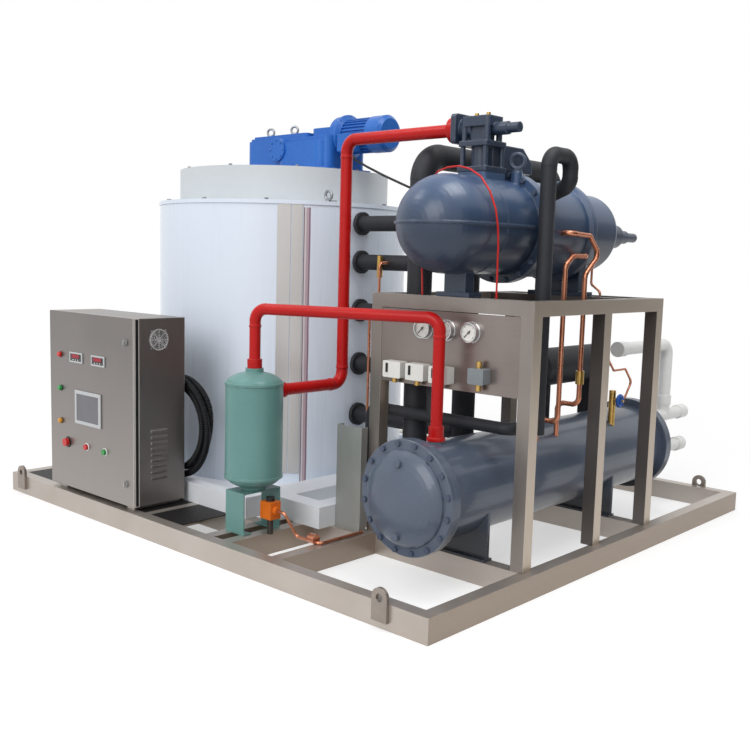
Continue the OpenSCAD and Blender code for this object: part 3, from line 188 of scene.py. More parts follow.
def drumFilm(d):
    material, tree, shader, coords = startFinish("drumFilm")
    low, high = finishRule["grain"]
    centred = wire(tree, "ShaderNodeMapping", Vector=coords, Location=(-d["axis"][0], -d["axis"][1], 0)).outputs[0]
    axes = wire(tree, "ShaderNodeSeparateXYZ", Vector=centred)
    turn = sums(tree, "ARCTAN2", axes.outputs[1], axes.outputs[0])
    streak = grain(tree, centred, d["streaks"], 2)
    slow = grain(tree, centred, d["cloud"], 2)
    mixed = sums(tree, "ADD", sums(tree, "MULTIPLY", streak, d["mix"]), sums(tree, "MULTIPLY", slow, 1 - d["mix"]))
    colour = blendColour(tree, spanned(tree, mixed, low, high, 0, 1), tint(*d["deep"]), tint(*d["pale"]))
    sway = sums(tree, "SUBTRACT", grain(tree, centred, d["sway"], 2), 0.5)
    below = sums(tree, "LESS_THAN", axes.outputs[2], d["rim"])
    for angle, width, hue, wander in d["lines"]:
        swayed = sums(tree, "ADD", turn, sums(tree, "MULTIPLY", sway, wander))
        away = sums(tree, "ABSOLUTE", sums(tree, "SUBTRACT", swayed, math.radians(angle)))
        inside = sums(tree, "MULTIPLY", sums(tree, "LESS_THAN", away, width), below)
        colour = blendColour(tree, inside, colour, tint(*hue))
    tree.links.new(colour, shader.inputs["Base Color"])
    tree.links.new(spanned(tree, streak, low, high, *d["rough"]), shader.inputs["Roughness"])
    height = wire(tree, "ShaderNodeBump", Height=slow, Strength=d["bump"], Distance=d["depth"])
    tree.links.new(height.outputs[0], shader.inputs["Normal"])
    shader.inputs["Coat Weight"].default_value = d["coat"]
    shader.inputs["Coat Roughness"].default_value = d["coatRough"]
    return material


# stainless sheet and tube, each brushed its own way
brush = {"upright": (260, 260, 5), "along": (4, 260, 260), "level": (9, 9, 240)}
# the +X-facing sides are painted darker: painted shade
frameSteel = finish("frameSteel", (192, 184, 177), (176, 166, 157), brush["level"], rough=(0.32, 0.42), metal=0.7,
                    bump=0.05, faces=((0, (158, 144, 131)),), edgeWearAndHighlight=(226, 220, 214))
# posts beyond y -0.5 painted darker: painted reflection of the dark parts before them; the +X-facing sides painted
# lighter: painted reflection
rackSteel = finish("rackSteel", (148, 141, 136), (135, 127, 121), brush["upright"], rough=(0.3, 0.4), metal=0.75,
                   bump=0.05, bands=((1, "above", -0.5, (104, 98, 95), 0.75),), faces=((0, (188, 175, 160)),),
                   edgeWearAndHighlight=(214, 208, 203))
brightRim = {"door": 0.002, "body": 0.012}  # width of the painted highlight on the door's free side and the body's front
cabinetEdges = {"door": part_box("cabinet_door")[1][0] - brightRim["door"],
                "body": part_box("cabinet_body")[0][1] + brightRim["body"]}
# lighter towards the bottom below 0.9 m: painted reflection of the floor; a bright strip on the door's free edge:
# painted highlight
doorSteel = finish("doorSteel", (136, 131, 128), (123, 118, 115), brush["upright"], cloud=1.6, rough=(0.3, 0.4),
                   metal=0.8, bump=0.05, edgeWearAndHighlight=(206, 203, 200),
                   bands=((2, "below", 0.9, (156, 150, 146), 0.8, 0.8),
                          (0, "above", cabinetEdges["door"], (208, 202, 197), 0.3)))
# a bright band along the body's front edge: painted highlight
cabinetSteel = finish("cabinetSteel", (138, 133, 130), (124, 119, 116), brush["upright"], cloud=1.6, rough=(0.3, 0.4),
                      metal=0.8, bump=0.05, bands=((1, "below", cabinetEdges["body"], (204, 198, 193), 0.3),),
                      edgeWearAndHighlight=(220, 216, 212), soft=0.004)
lugSteel = finish("lugSteel", (158, 148, 140), (138, 128, 120), 120, cloud=9, rough=(0.34, 0.46), metal=0.7, bump=0.08,
                  edgeWearAndHighlight=(206, 198, 190))
panelSteel = finish("panelSteel", (144, 134, 130), (126, 117, 113), brush["along"], rough=(0.28, 0.38), metal=0.8,
                    bump=0.05)
pumpSheet = finish("pumpSheet", (172, 174, 171), (158, 160, 157), brush["upright"], cloud=4, rough=(0.32, 0.44),
                   metal=0.6, bump=0.05)
seamSteel = finish("seamSteel", (204, 202, 200), (197, 195, 193), (120, 120, 3), cloud=1, rough=(0.28, 0.34),
                   metal=0.4, bump=0.01, mix=0.08)
drumSteel = finish("drumSteel", (186, 188, 190), (164, 166, 170), (6, 6, 200), cloud=4, rough=(0.24, 0.36), metal=0.9,
                   bump=0.08)
boltSteel = finish("boltSteel", (158, 160, 164), (132, 134, 140), 120, cloud=20, rough=(0.26, 0.4), metal=0.85,
                   soft=0.001, bands=((0, "above", 0.6, (74, 84, 102), 0.0),))
gaugeSteel = finish("gaugeSteel", (208, 208, 208), (186, 186, 188), cloud=20, rough=(0.16, 0.26), metal=0.95,
                    bump=0.03, soft=0.001)
lockSteel = finish("lockSteel", (178, 178, 176), (154, 154, 154), 120, cloud=20, rough=(0.2, 0.32), metal=0.9,
                   bump=0.04, soft=0.001)
fanWire = finish("fanWire", (216, 216, 216), (196, 196, 198), 120, cloud=20, rough=(0.2, 0.32), metal=0.5, bump=0.04,
                 soft=0.0008)

# paints of the drum, the drive, the vessels and the hot-gas pipes
paleSheet = finish("paleSheet", (236, 239, 243), (226, 230, 236), 60, rough=(0.36, 0.46), metal=0.1, bump=0.04)
casingPaint = finish("casingPaint", (203, 208, 211), (195, 200, 204), 40, cloud=2, rough=(0.36, 0.46), bump=0.03)
driveBlue = finish("driveBlue", (41, 105, 188), (35, 95, 176), 70, cloud=5, rough=(0.26, 0.36), bump=0.08,
                   depth=0.0005, coat=0.1, edgeWearAndHighlight=(104, 158, 226))
hotGasRed = finish("hotGasRed", (188, 22, 21), (176, 17, 16), 24, cloud=4, rough=(0.26, 0.36), bump=0.03, depth=0.0005,
                   coat=0.05, edgeWearAndHighlight=(214, 70, 64), soft=0.006, gloss=0.22)
separatorGreen = finish("separatorGreen", (104, 148, 143), (97, 139, 135), 60, cloud=4, rough=(0.3, 0.4),
                        depth=0.0005, coat=0.1, edgeWearAndHighlight=(150, 186, 180), soft=0.006)
vesselCoat = {"tone": (46, 60, 82), "shade": (39, 51, 70), "scale": 70, "cloud": 4, "rough": (0.31, 0.36), "bump": 0.02,
              "depth": 0.0003, "coat": 0.1, "edgeWearAndHighlight": (104, 118, 140), "soft": 0.009, "gloss": 0.5}
vesselPaint = finish("vesselPaint", **vesselCoat)
vesselAxis = sum(corner[2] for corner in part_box("compressor_motor_case")) / 2  # painted sky reflection: bluer above this height
domePaintSkyReflection = finish("domePaintSkyReflection", **vesselCoat, bands=((2, "above", vesselAxis - 0.02, (60, 83, 116), 0.0, 0.24),))
condenserCoat = {"tone": (84, 95, 113), "shade": (75, 85, 101), "scale": 70, "cloud": 4, "rough": (0.28, 0.38),
                 "bump": 0.1, "depth": 0.0006, "coat": 0.3, "edgeWearAndHighlight": (112, 121, 136), "gloss": 0.4}
headPaint = finish("headPaint", **condenserCoat, soft=0.006)
# darker towards the bottom below 0.33 m: painted shade under the shell
shellPaintShadedBelow = finish("shellPaintShadedBelow", **condenserCoat, soft=0.009,
                    bands=((2, "below", 0.33, (44, 47, 54), 0.0, 0.16),))
wheelBlue = finish("wheelBlue", (44, 104, 196), (36, 92, 180), 120, cloud=20, rough=(0.3, 0.42))
# near-black plate under the drum and cabinet: a dark sheet standing in for the shade beneath them
shadePlateBlack = finish("shadePlateBlack", (28, 26, 26), (20, 19, 19), 80, cloud=6, rough=(0.46, 0.6), bump=0.12)

# pipes, hoses and fittings
foamBlack = finish("foamBlack", (46, 47, 52), (36, 37, 41), 150, cloud=5, rough=(0.5, 0.64), bump=0.2, depth=0.0008,
                   soft=0.008)
hoseBlack = finish("hoseBlack", (20, 21, 24), (14, 15, 17), cloud=12, rough=(0.38, 0.5), bump=0.08, soft=0.0005,
                   gloss=0.2)
hoseRed = finish("hoseRed", (204, 40, 36), (186, 32, 29), 100, cloud=16, rough=(0.3, 0.42))
leadSheath = finish("leadSheath", (34, 34, 36), (24, 24, 26), 160, cloud=12, rough=(0.42, 0.56), bump=0.15)
copperTube = finish("copperTube", (210, 144, 114), (184, 116, 88), 40, cloud=9, rough=(0.24, 0.36), metal=0.9,
                    bump=0.05, soft=0.004)
brassTone = (190, 156, 92)
brassFitting = finish("brassFitting", (208, 172, 100), (186, 148, 80), 120, cloud=20, rough=(0.24, 0.38), metal=0.9,
                      bump=0.05, soft=0.001)
pvcWhite = finish("pvcWhite", (238, 238, 236), (230, 230, 227), 30, rough=(0.26, 0.34), bump=0.03, coat=0.1)
valveOrange = finish("valveOrange", (228, 118, 34), (208, 102, 26), 120, cloud=20, rough=(0.32, 0.44), bump=0.08,
                     bands=((2, "below", 0.171, (70, 66, 62), 0.4), (2, "above", 0.2505, (30, 30, 32), 0.0)))
canisterBlack = finish("canisterBlack", (32, 33, 36), (25, 25, 28), 120, cloud=10, rough=(0.3, 0.42), bump=0.08)

# instruments, buttons and what is printed on them
needleBlack = finish("needleBlack", (26, 26, 28), (18, 18, 20), 200, cloud=40, rough=(0.35, 0.5), bump=0.05,
                     soft=0.0003)
switchWhite = finish("switchWhite", (232, 232, 228), (222, 222, 217), 100, cloud=9, rough=(0.36, 0.46),
                     bands=((2, "below", 0.8238, brassTone, 0.9),))
switchGrey = finish("switchGrey", (136, 142, 146), (124, 130, 134), 100, cloud=9, rough=(0.34, 0.46), metal=0.2,
                    bands=((2, "below", 0.8405, brassTone, 0.9), (2, "above", 0.9075, brassTone, 0.9)))
switchgearGrey = finish("switchgearGrey", (190, 192, 194), (178, 180, 183), 120, cloud=10, rough=(0.4, 0.52))
fanGrey = finish("fanGrey", (66, 64, 66), (52, 50, 52), 140, cloud=20, rough=(0.36, 0.5), bump=0.08, soft=0.0008)
lampLens = finish("lampLens", (214, 150, 30), (198, 132, 24), 120, cloud=20, rough=(0.16, 0.26), bump=0.04, coat=0.5,
                  soft=0.001, bands=((2, "above", 0.545, (40, 150, 70), 0.0), (2, "above", 0.717, (206, 38, 34), 0.0),
                                     (1, "above", -1.3361, (26, 26, 28), 0.0)))
buttonRed = finish("buttonRed", (208, 34, 36), (192, 28, 30), 120, cloud=20, rough=(0.24, 0.34), bump=0.04, coat=0.3,
                   soft=0.0015)
buttonGreen = finish("buttonGreen", (46, 156, 76), (38, 140, 66), 120, cloud=20, rough=(0.24, 0.34), bump=0.04,
                     coat=0.3, soft=0.0015)
collarBlack = finish("collarBlack", (28, 28, 30), (20, 20, 22), 120, cloud=20, rough=(0.34, 0.46), soft=0.0008)
ringWhite = finish("ringWhite", (226, 226, 224), (214, 214, 212), 120, cloud=20, rough=(0.26, 0.38), metal=0.3,
                   bump=0.04, soft=0.0008)
bezelGrey = finish("bezelGrey", (196, 198, 200), (186, 188, 191), 100, cloud=12, rough=(0.36, 0.48), bump=0.05,
                   soft=0.0008)
readoutGlass = finish("readoutGlass", (26, 22, 24), (20, 17, 18), 60, cloud=30, rough=(0.06, 0.12), bump=0.02,
                      depth=0.0002, coat=0.6, soft=0.0005)
digitRed = finish("digitRed", (168, 36, 56), (146, 28, 46), 60, cloud=30, rough=(0.2, 0.3), bump=0.02, depth=0.0002,
                  soft=0.0003)
screenGlass = finish("screenGlass", (112, 112, 118), (102, 102, 108), 30, cloud=8, rough=(0.12, 0.2), bump=0.02,
                     depth=0.0002, coat=0.2, soft=0.0005)
dialWhite = finish("dialWhite", (238, 237, 232), (230, 229, 223), 100, cloud=16, rough=(0.4, 0.5), bump=0.03,
                   soft=0.0003)
inkBlack = finish("inkBlack", (26, 26, 26), (18, 18, 18), 300, cloud=60, rough=(0.5, 0.6), bump=0.02, soft=0.0001)
inkRed = finish("inkRed", (196, 40, 34), (182, 32, 28), 300, cloud=60, rough=(0.5, 0.6), bump=0.02, soft=0.0001)

nodeFinish = {
    frameSteel: ("skid_frame",), lugSteel: ("lifting_lugs",), rackSteel: ("compressor_stand",),
    cabinetSteel: ("cabinet_body",), doorSteel: ("cabinet_door",), paleSheet: ("drum_base", "water_tank"),
    drumFilm(drumSkin): ("drum_jacket",), seamSteel: ("seam_covers",), casingPaint: ("upper_casing",),
    drumSteel: ("evaporator", "bearing_spider", "main_shaft", "ice_scraper", "blade_roller"),
    driveBlue: ("gear_reducer", "drive_motor"), leadSheath: ("motor_lead",), boltSteel: ("fasteners",),
    hotGasRed: ("hot_gas_riser", "hot_gas_drop"), separatorGreen: ("oil_separator", "separator_bracket"),
    valveOrange: ("oil_valve",), shellPaintShadedBelow: ("condenser_shell",),
    headPaint: ("condenser_front_head", "condenser_rear_head"), vesselPaint: ("stop_valves", "terminal_box"),
    domePaintSkyReflection: ("compressor_casing", "compressor_motor_case"), copperTube: ("copper_lines",),
    foamBlack: ("suction_pipe", "drum_stubs", "insulated_lines"), brassFitting: ("brass_valves",),
    wheelBlue: ("valve_handwheel",), pvcWhite: ("water_pipes",), panelSteel: ("instrument_panel",),
    gaugeSteel: ("gauges",), needleBlack: ("gauge_needle_1", "gauge_needle_2", "gauge_needle_3"),
    switchWhite: ("pressure_switches",), switchGrey: ("oil_pressure_switch",), hoseRed: ("red_hose",),
    pumpSheet: ("pump_bracket",), canisterBlack: ("canister",), hoseBlack: ("hose_coil",),
    switchgearGrey: ("switchgear",), fanWire: ("fan_guard",), fanGrey: ("fan_rotor",), shadePlateBlack: ("floor_plate",),
    bezelGrey: ("displays",), lampLens: ("indicator_lamps",), buttonRed: ("estop_button", "stop_button"),
    buttonGreen: ("start_button",), lockSteel: ("upper_lock", "lower_lock"),
}
dressed = 0
for material, names in nodeFinish.items():
    for name in names:
        slots = nodes[name].data.materials
        for i in range(len(slots)):
            slots[i] = material
        if not slots:
            slots.append(material)
        dressed += 1
print("finishes:", len(nodeFinish), "on", dressed, "nodes")


# node trees that repeat a shape, each ending in plain geometry with its material
def openTree(name, inputs):
    tree = bpy.data.node_groups.new(name, "GeometryNodeTree")
    tree.interface.new_socket("Geometry", in_out="INPUT", socket_type="NodeSocketGeometry")
    for label, kind, value in inputs:
        socket = tree.interface.new_socket(label, in_out="INPUT", socket_type="NodeSocket" + kind)
        socket.default_value = value
    tree.interface.new_socket("Finish", in_out="INPUT", socket_type="NodeSocketMaterial")
    tree.interface.new_socket("Geometry", in_out="OUTPUT", socket_type="NodeSocketGeometry")
    return tree, tree.nodes.new("NodeGroupInput").outputs


def closeTree(tree, shape, given):
    real = wire(tree, "GeometryNodeRealizeInstances", Geometry=shape)
    done = wire(tree, "GeometryNodeSetMaterial", Geometry=real.outputs[0], Material=given["Finish"])
    wire(tree, "NodeGroupOutput", _0=done.outputs[0])
    return tree


pieces = []


def addPiece(name, mesh, body):
    mesh.name = name
    piece = bpy.data.objects.new(name, mesh)
    scene.collection.objects.link(piece)
    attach(piece, body)
    pieces.append(piece)
    return piece


def growPiece(name, tree, values, body, place=Matrix(), source=None):
    holder = bpy.data.objects.new(name + "Seed", source or bpy.data.meshes.new(name + "Seed"))
    scene.collection.objects.link(holder)
    grow = holder.modifiers.new("grow", "NODES")
    grow.node_group = tree
    for item in tree.interface.items_tree:
        if item.item_type == "SOCKET" and item.in_out == "INPUT" and item.name in values:
            grow[item.identifier] = values[item.name]
    graph = bpy.context.evaluated_depsgraph_get()
    mesh = bpy.data.meshes.new_from_object(holder.evaluated_get(graph), depsgraph=graph)
    bpy.data.objects.remove(holder)
    mesh.transform(place)
    return addPiece(name, mesh, body)


# corrugated hose coiled behind the cabinet, the only loose hose: an inner and an outer layer of turns, in degrees
coilHose = {"centre": (-0.460, -0.977, 0.4653), "inner": 0.209, "outer": 0.246, "swing": 0.022, "radius": 0.0182,
            "ribGap": 0.011, "ribDepth": 0.0022, "start": 60, "wind": 400, "cross": 60, "perTurn": 48}


def coilPath(h):
    total = 2 * h["wind"] + h["cross"]
    count = round(total / 360 * h["perTurn"])
    points = []
    for i in range(count + 1):
        a = total * i / count
        if a <= h["wind"]:
            r, y = h["inner"], -h["swing"] + 2 * h["swing"] * a / h["wind"]
        elif a <= h["wind"] + h["cross"]:
            s = (a - h["wind"]) / h["cross"]
            r, y = h["inner"] + (h["outer"] - h["inner"]) * s * s * (3 - 2 * s), h["swing"]
        else:
            r, y = h["outer"], h["swing"] - 2 * h["swing"] * (a - h["wind"] - h["cross"]) / h["wind"]
        t = math.radians(a - h["start"])
        points.append(Vector(h["centre"]) + Vector((r * math.cos(t), y, r * math.sin(t))))
    return points


def ribbedTree():
    tree, given = openTree("ribbedHose", [("Rib gap", "Float", 0.01), ("Hose radius", "Float", 0.018),
                                          ("Rib depth", "Float", 0.002), ("Sides", "Int", 12)])
    steps = wire(tree, "GeometryNodeResampleCurve", Curve=given["Geometry"])
    steps.mode = "LENGTH"
    quarter = sums(tree, "MULTIPLY", given["Rib gap"], 0.25)  # four rings to each rib
    tree.links.new(quarter, next(k for k in steps.inputs if k.name == "Length"))
    order = tree.nodes.new("GeometryNodeInputIndex").outputs[0]
    wave = sums(tree, "SINE", sums(tree, "MULTIPLY", order, math.pi / 2))
    dip = sums(tree, "MULTIPLY", sums(tree, "ADD", wave, -1.0), given["Rib depth"])
    size = sums(tree, "ADD", dip, given["Hose radius"])
    ring = wire(tree, "GeometryNodeCurvePrimitiveCircle", Resolution=given["Sides"], Radius=1.0)
    tube = wire(tree, "GeometryNodeCurveToMesh", _0=steps.outputs[0], _1=ring.outputs[0], Scale=size)
    tube.inputs["Fill Caps"].default_value = True
    smooth = wire(tree, "GeometryNodeSetShadeSmooth", _0=tube.outputs[0])
    return closeTree(tree, smooth.outputs[0], given)


coilPoints = coilPath(coilHose)
route = bpy.data.curves.new("coilRoute", "CURVE")
route.dimensions = "3D"
strand = route.splines.new("POLY")
strand.points.add(len(coilPoints) - 1)
for spot, p in zip(strand.points, coilPoints):
    spot.co = (p.x, p.y, p.z, 1)
coil = growPiece("coilHose", ribbedTree(), {"Rib gap": coilHose["ribGap"], "Hose radius": coilHose["radius"],
                 "Rib depth": coilHose["ribDepth"], "Finish": hoseBlack}, "machine", source=route)
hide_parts("hose_coil")

# bolts in a ring: head, washer and stem, each with its sides and its shares of the head's radius and height
boltShape = ((6, 1.0, 1.0), (20, 1.3, 0.25), (12, 0.5, 1.25))


def boltTree():
    tree, given = openTree("boltRing", [("Count", "Int", 8), ("Ring radius", "Float", 0.1), ("Start", "Float", 0.0),
                                        ("Head radius", "Float", 0.008), ("Head height", "Float", 0.006)])
    ring = wire(tree, "GeometryNodeMeshCircle", Vertices=given["Count"], Radius=given["Ring radius"])
    turn = wire(tree, "ShaderNodeCombineXYZ", Z=given["Start"])
    seats = wire(tree, "GeometryNodeTransform", Geometry=ring.outputs[0], Rotation=turn.outputs[0])
    bolt = tree.nodes.new("GeometryNodeJoinGeometry")
    for sides, wide, tall in boltShape:
        radius = sums(tree, "MULTIPLY", given["Head radius"], wide)
        height = sums(tree, "MULTIPLY", given["Head height"], tall)
        disc = wire(tree, "GeometryNodeMeshCylinder", Vertices=sides, Radius=radius, Depth=height)
        lift = wire(tree, "ShaderNodeCombineXYZ", Z=sums(tree, "MULTIPLY", height, 0.5))
        raised = wire(tree, "GeometryNodeTransform", Geometry=disc.outputs[0], Translation=lift.outputs[0])
        tree.links.new(raised.outputs[0], bolt.inputs[0])
    spread = wire(tree, "GeometryNodeInstanceOnPoints", Points=seats.outputs[0], Instance=bolt.outputs[0])
    return closeTree(tree, spread.outputs[0], given)


bolts = boltTree()
toFront = Matrix.Rotation(math.radians(90), 4, "X")
toRight = Matrix.Rotation(math.radians(90), 4, "Y")
boltRings = {
    "coverBolts": {"at": (-0.558, -0.2620, 1.920), "turn": toFront, "count": 8, "ring": 0.050, "start": 0,
                   "head": 0.0055, "tall": 0.005, "finish": driveBlue},
    "lidBolts": {"at": (-0.683, -0.08, 1.800), "turn": Matrix(), "count": 10, "ring": 0.572, "start": 0,
                 "head": 0.0095, "tall": 0.008, "finish": boltSteel},
    "motorBolts": {"at": (-0.169, -0.08, 1.982), "turn": toRight, "count": 8, "ring": 0.104, "start": 0,
                   "head": 0.0075, "tall": 0.006, "finish": driveBlue},
    "guardScrews": {"at": (-0.333, -1.189, 0.923), "turn": toRight, "count": 4, "ring": 0.0575, "start": 45,
                    "head": 0.0042, "tall": 0.003, "finish": boltSteel},
}
for name, b in boltRings.items():
    growPiece(name, bolts, {"Count": b["count"], "Ring radius": b["ring"], "Start": math.radians(b["start"]),
                            "Head radius": b["head"], "Head height": b["tall"], "Finish": b["finish"]},
              "machine", Matrix.Translation(b["at"]) @ b["turn"])
print("bolt rings:", len(boltRings))


# printed ticks along a dial's sweep
def tickTree():
    tree, given = openTree("dialTicks", [("Count", "Int", 28), ("Radius", "Float", 0.03), ("Length", "Float", 0.004),
                                         ("Width", "Float", 0.0008), ("Thickness", "Float", 0.0003),
                                         ("Sweep", "Float", 4.712)])
    line = wire(tree, "GeometryNodeMeshLine", Count=given["Count"])
    order = tree.nodes.new("GeometryNodeInputIndex").outputs[0]
    share = sums(tree, "DIVIDE", order, sums(tree, "SUBTRACT", given["Count"], 1.0))
    angle = sums(tree, "ADD", sums(tree, "MULTIPLY", share, given["Sweep"]), -math.pi / 4)
    along = sums(tree, "MULTIPLY", sums(tree, "COSINE", angle), given["Radius"])
    across = sums(tree, "MULTIPLY", sums(tree, "SINE", angle), given["Radius"])
    spot = wire(tree, "ShaderNodeCombineXYZ", X=along, Y=across)
    placed = wire(tree, "GeometryNodeSetPosition", Geometry=line.outputs[0], Position=spot.outputs[0])
    size = wire(tree, "ShaderNodeCombineXYZ", X=given["Length"], Y=given["Width"], Z=given["Thickness"])
    mark = wire(tree, "GeometryNodeMeshCube", Size=size.outputs[0])
    spin = wire(tree, "ShaderNodeCombineXYZ", Z=angle)
    spread = wire(tree, "GeometryNodeInstanceOnPoints", Points=placed.outputs[0], Instance=mark.outputs[0],
                  Rotation=spin.outputs[0])
    return closeTree(tree, spread.outputs[0], given)


# a turned shape: (radius, height) pairs spun round an axis
def turned(name, profile, place, material, body, sides=40, sharp=35):
    shape = bmesh.new()
    angles = [2 * math.pi * k / sides for k in range(sides)]
    rings = []
    for r, h in profile:
        if r == 0:
            rings.append([shape.verts.new((0, 0, h))] * sides)
        else:
            rings.append([shape.verts.new((r * math.cos(a), r * math.sin(a), h)) for a in angles])
    for low, high in zip(rings, rings[1:]):
        for k in range(sides):
            n = (k + 1) % sides
            corners = []
            for v in (low[k], low[n], high[n], high[k]):
                if v not in corners:
                    corners.append(v)
            if len(corners) > 2:
                shape.faces.new(corners)
    bmesh.ops.recalc_face_normals(shape, faces=shape.faces)
    mesh = bpy.data.meshes.new(name)
    shape.to_mesh(mesh)
    shape.free()
    mesh.transform(place)
    mesh.materials.append(material)
    mesh.shade_smooth()
    mesh.set_sharp_from_angle(angle=math.radians(sharp))
    return addPiece(name, mesh, body)


def facing(x, y, z):
    return Matrix.Translation((x, y, z)) @ toFront


# dial faces: white discs with fine ticks and main marks, red on the first
gaugeFace = {"xs": (0.918, 1.037, 1.164), "z": 1.047, "y": -0.7311, "radius": 0.0362, "hole": 0.0028, "thick": 0.0005,
             "sides": 48, "tickUp": 0.0006, "markUp": 0.0008,
             "ticks": {"Count": 31, "Radius": 0.0318, "Length": 0.0045, "Width": 0.0009},
             "marks": {"Count": 7, "Radius": 0.0298, "Length": 0.0085, "Width": 0.0018}}
dialProfile = [(0, 0), (gaugeFace["radius"], 0), (gaugeFace["radius"], gaugeFace["thick"]),
               (gaugeFace["hole"], gaugeFace["thick"]), (gaugeFace["hole"], 0)]
dialTicks = tickTree()
for k, x in enumerate(gaugeFace["xs"], 1):
    y, z = gaugeFace["y"], gaugeFace["z"]
    turned("dialFace%d" % k, dialProfile, facing(x, y, z), dialWhite, "machine", gaugeFace["sides"])
    growPiece("dialTicks%d" % k, dialTicks, dict(gaugeFace["ticks"], Finish=inkBlack), "machine",
              facing(x, y - gaugeFace["tickUp"], z))
    growPiece("dialMarks%d" % k, dialTicks, dict(gaugeFace["marks"], Finish=inkRed if k == 1 else inkBlack), "machine",
              facing(x, y - gaugeFace["markUp"], z))
print("gauges dressed:", len(gaugeFace["xs"]))


# a strip or block between two corners with rounded edges
def slab(low, high, edge, rounds=3):
    shape = bmesh.new()
    bmesh.ops.create_cube(shape, size=1)
    for v in shape.verts:
        v.co = Vector([(low[i] + high[i]) / 2 + v.co[i] * (high[i] - low[i]) for i in range(3)])
    bmesh.ops.bevel(shape, geom=shape.edges[:], offset=edge, segments=rounds, affect="EDGES", profile=0.5)
    return shape


# a moulded frame with a sunk window in its front; cut is the edge's rounding, the rim's width and the window's depth
def framed(name, low, high, cut, material, glass, body, lip=0.0008):
    edge, rim, sunk = cut
    shape = slab(low, high, edge)
    face = max((f for f in shape.faces if f.normal.y < -0.99), key=lambda f: f.calc_area())
    bmesh.ops.inset_individual(shape, faces=[face], thickness=rim, depth=0)
    bmesh.ops.inset_individual(shape, faces=[face], thickness=lip, depth=-sunk)
    face.material_index = 1
    mesh = bpy.data.meshes.new(name)
    shape.to_mesh(mesh)
    shape.free()
    mesh.materials.append(material)
    mesh.materials.append(glass)
    return addPiece(name, mesh, body)


doorFace = -1.332  # front plane of the closed door

# temperature displays with a red digit window and three keys each
readouts = {"xs": (-0.898, -0.695), "z": 0.773, "size": (0.121, 0.053), "proud": 0.006, "cut": (0.002, 0.0085, 0.0015),
            "digits": (0.020, 0.022, 0.094, 0.045), "digitDepth": 0.002, "digitCut": (0.0004, 0.0012, 0.0003),
            "keys": (0.034, 0.057, 0.080), "keyUp": 0.0145, "keySize": 0.0034, "keyTall": 0.0018, "keyWall": 0.0012,
            "keyEdge": 0.0008, "keySides": 16}
keyProfile = [(0, 0), (readouts["keySize"], 0), (readouts["keySize"], readouts["keyWall"]),
              (readouts["keySize"] - readouts["keyEdge"], readouts["keyTall"]), (0, readouts["keyTall"])]
for k, x in enumerate(readouts["xs"], 1):
    face, z, (wide, tall) = doorFace - readouts["proud"], readouts["z"], readouts["size"]
    framed("readout%d" % k, (x, face, z), (x + wide, doorFace, z + tall), readouts["cut"],
                         bezelGrey, readoutGlass, "door")
    left, low, right, high = readouts["digits"]
    framed("digits%d" % k, (x + left, face, z + low), (x + right, face + readouts["digitDepth"], z + high),
           readouts["digitCut"], collarBlack, digitRed, "door")
    for n, along in enumerate(readouts["keys"], 1):
        turned("readoutKey%d%d" % (k, n), keyProfile,
               facing(x + along, face + readouts["keyTall"], z + readouts["keyUp"]), ringWhite, "door",
               readouts["keySides"])
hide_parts("displays")

screen = {"low": (-0.848, 0.465), "high": (-0.610, 0.636), "proud": 0.008, "cut": (0.003, 0.02, 0.002)}
framed("touchScreen", (screen["low"][0], doorFace - screen["proud"], screen["low"][1]),
       (screen["high"][0], doorFace, screen["high"][1]), screen["cut"], bezelGrey, screenGlass, "door")

# rubber seal on the door's free edge, black, also standing in for the shade in the gap between door and body
doorSealGapShade = {"from": 0.013, "to": 0.0275, "proud": 0.0016, "sunk": 0.001, "short": 0.004, "edge": 0.0012}
doorLow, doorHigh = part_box("cabinet_door")
strip = slab((doorHigh[0] - doorSealGapShade["sunk"], doorFace + doorSealGapShade["from"], doorLow[2] + doorSealGapShade["short"]),
             (doorHigh[0] + doorSealGapShade["proud"], doorFace + doorSealGapShade["to"], doorHigh[2] - doorSealGapShade["short"]),
             doorSealGapShade["edge"])
stripMesh = bpy.data.meshes.new("doorSealGapShade")
strip.to_mesh(stripMesh)
strip.free()
stripMesh.materials.append(collarBlack)
addPiece("doorSealGapShade", stripMesh, "door")

# collars round the emergency stop and the two buttons: place, inner and outer radius
collars = {"estopCollar": (-0.926, 0.0215, 0.028, collarBlack), "stopCollar": (-0.747, 0.0155, 0.0205, ringWhite),
           "startCollar": (-0.581, 0.0155, 0.0205, ringWhite)}
collarCut = {"z": 0.355, "wall": 0.002, "tall": 0.0036, "outerEdge": 0.0015, "innerEdge": 0.001, "innerWall": 0.0026}
for name, (x, inner, outer, material) in collars.items():
    turned(name, [(inner, 0), (outer, 0), (outer, collarCut["wall"]),
                  (outer - collarCut["outerEdge"], collarCut["tall"]),
                  (inner + collarCut["innerEdge"], collarCut["tall"]), (inner, collarCut["innerWall"]), (inner, 0)],
           facing(x, doorFace, collarCut["z"]), material, "door")

# dark windows in the pressure switches
switchFace = {"xs": (0.774, 0.903, 1.031), "z": 0.866, "front": -0.759, "left": -0.026, "window": (0.020, 0.046),
              "proud": 0.002, "sunk": 0.001, "cut": (0.0008, 0.002, 0.0008)}
for k, x in enumerate(switchFace["xs"], 1):
    mid, front, z, (wide, tall) = x + switchFace["left"], switchFace["front"], switchFace["z"], switchFace["window"]
    framed("switchWindow%d" % k, (mid - wide / 2, front - switchFace["proud"], z - tall / 2),
           (mid + wide / 2, front + switchFace["sunk"], z + tall / 2), switchFace["cut"],
           switchWhite, collarBlack, "machine")
print("pieces added:", len(pieces))

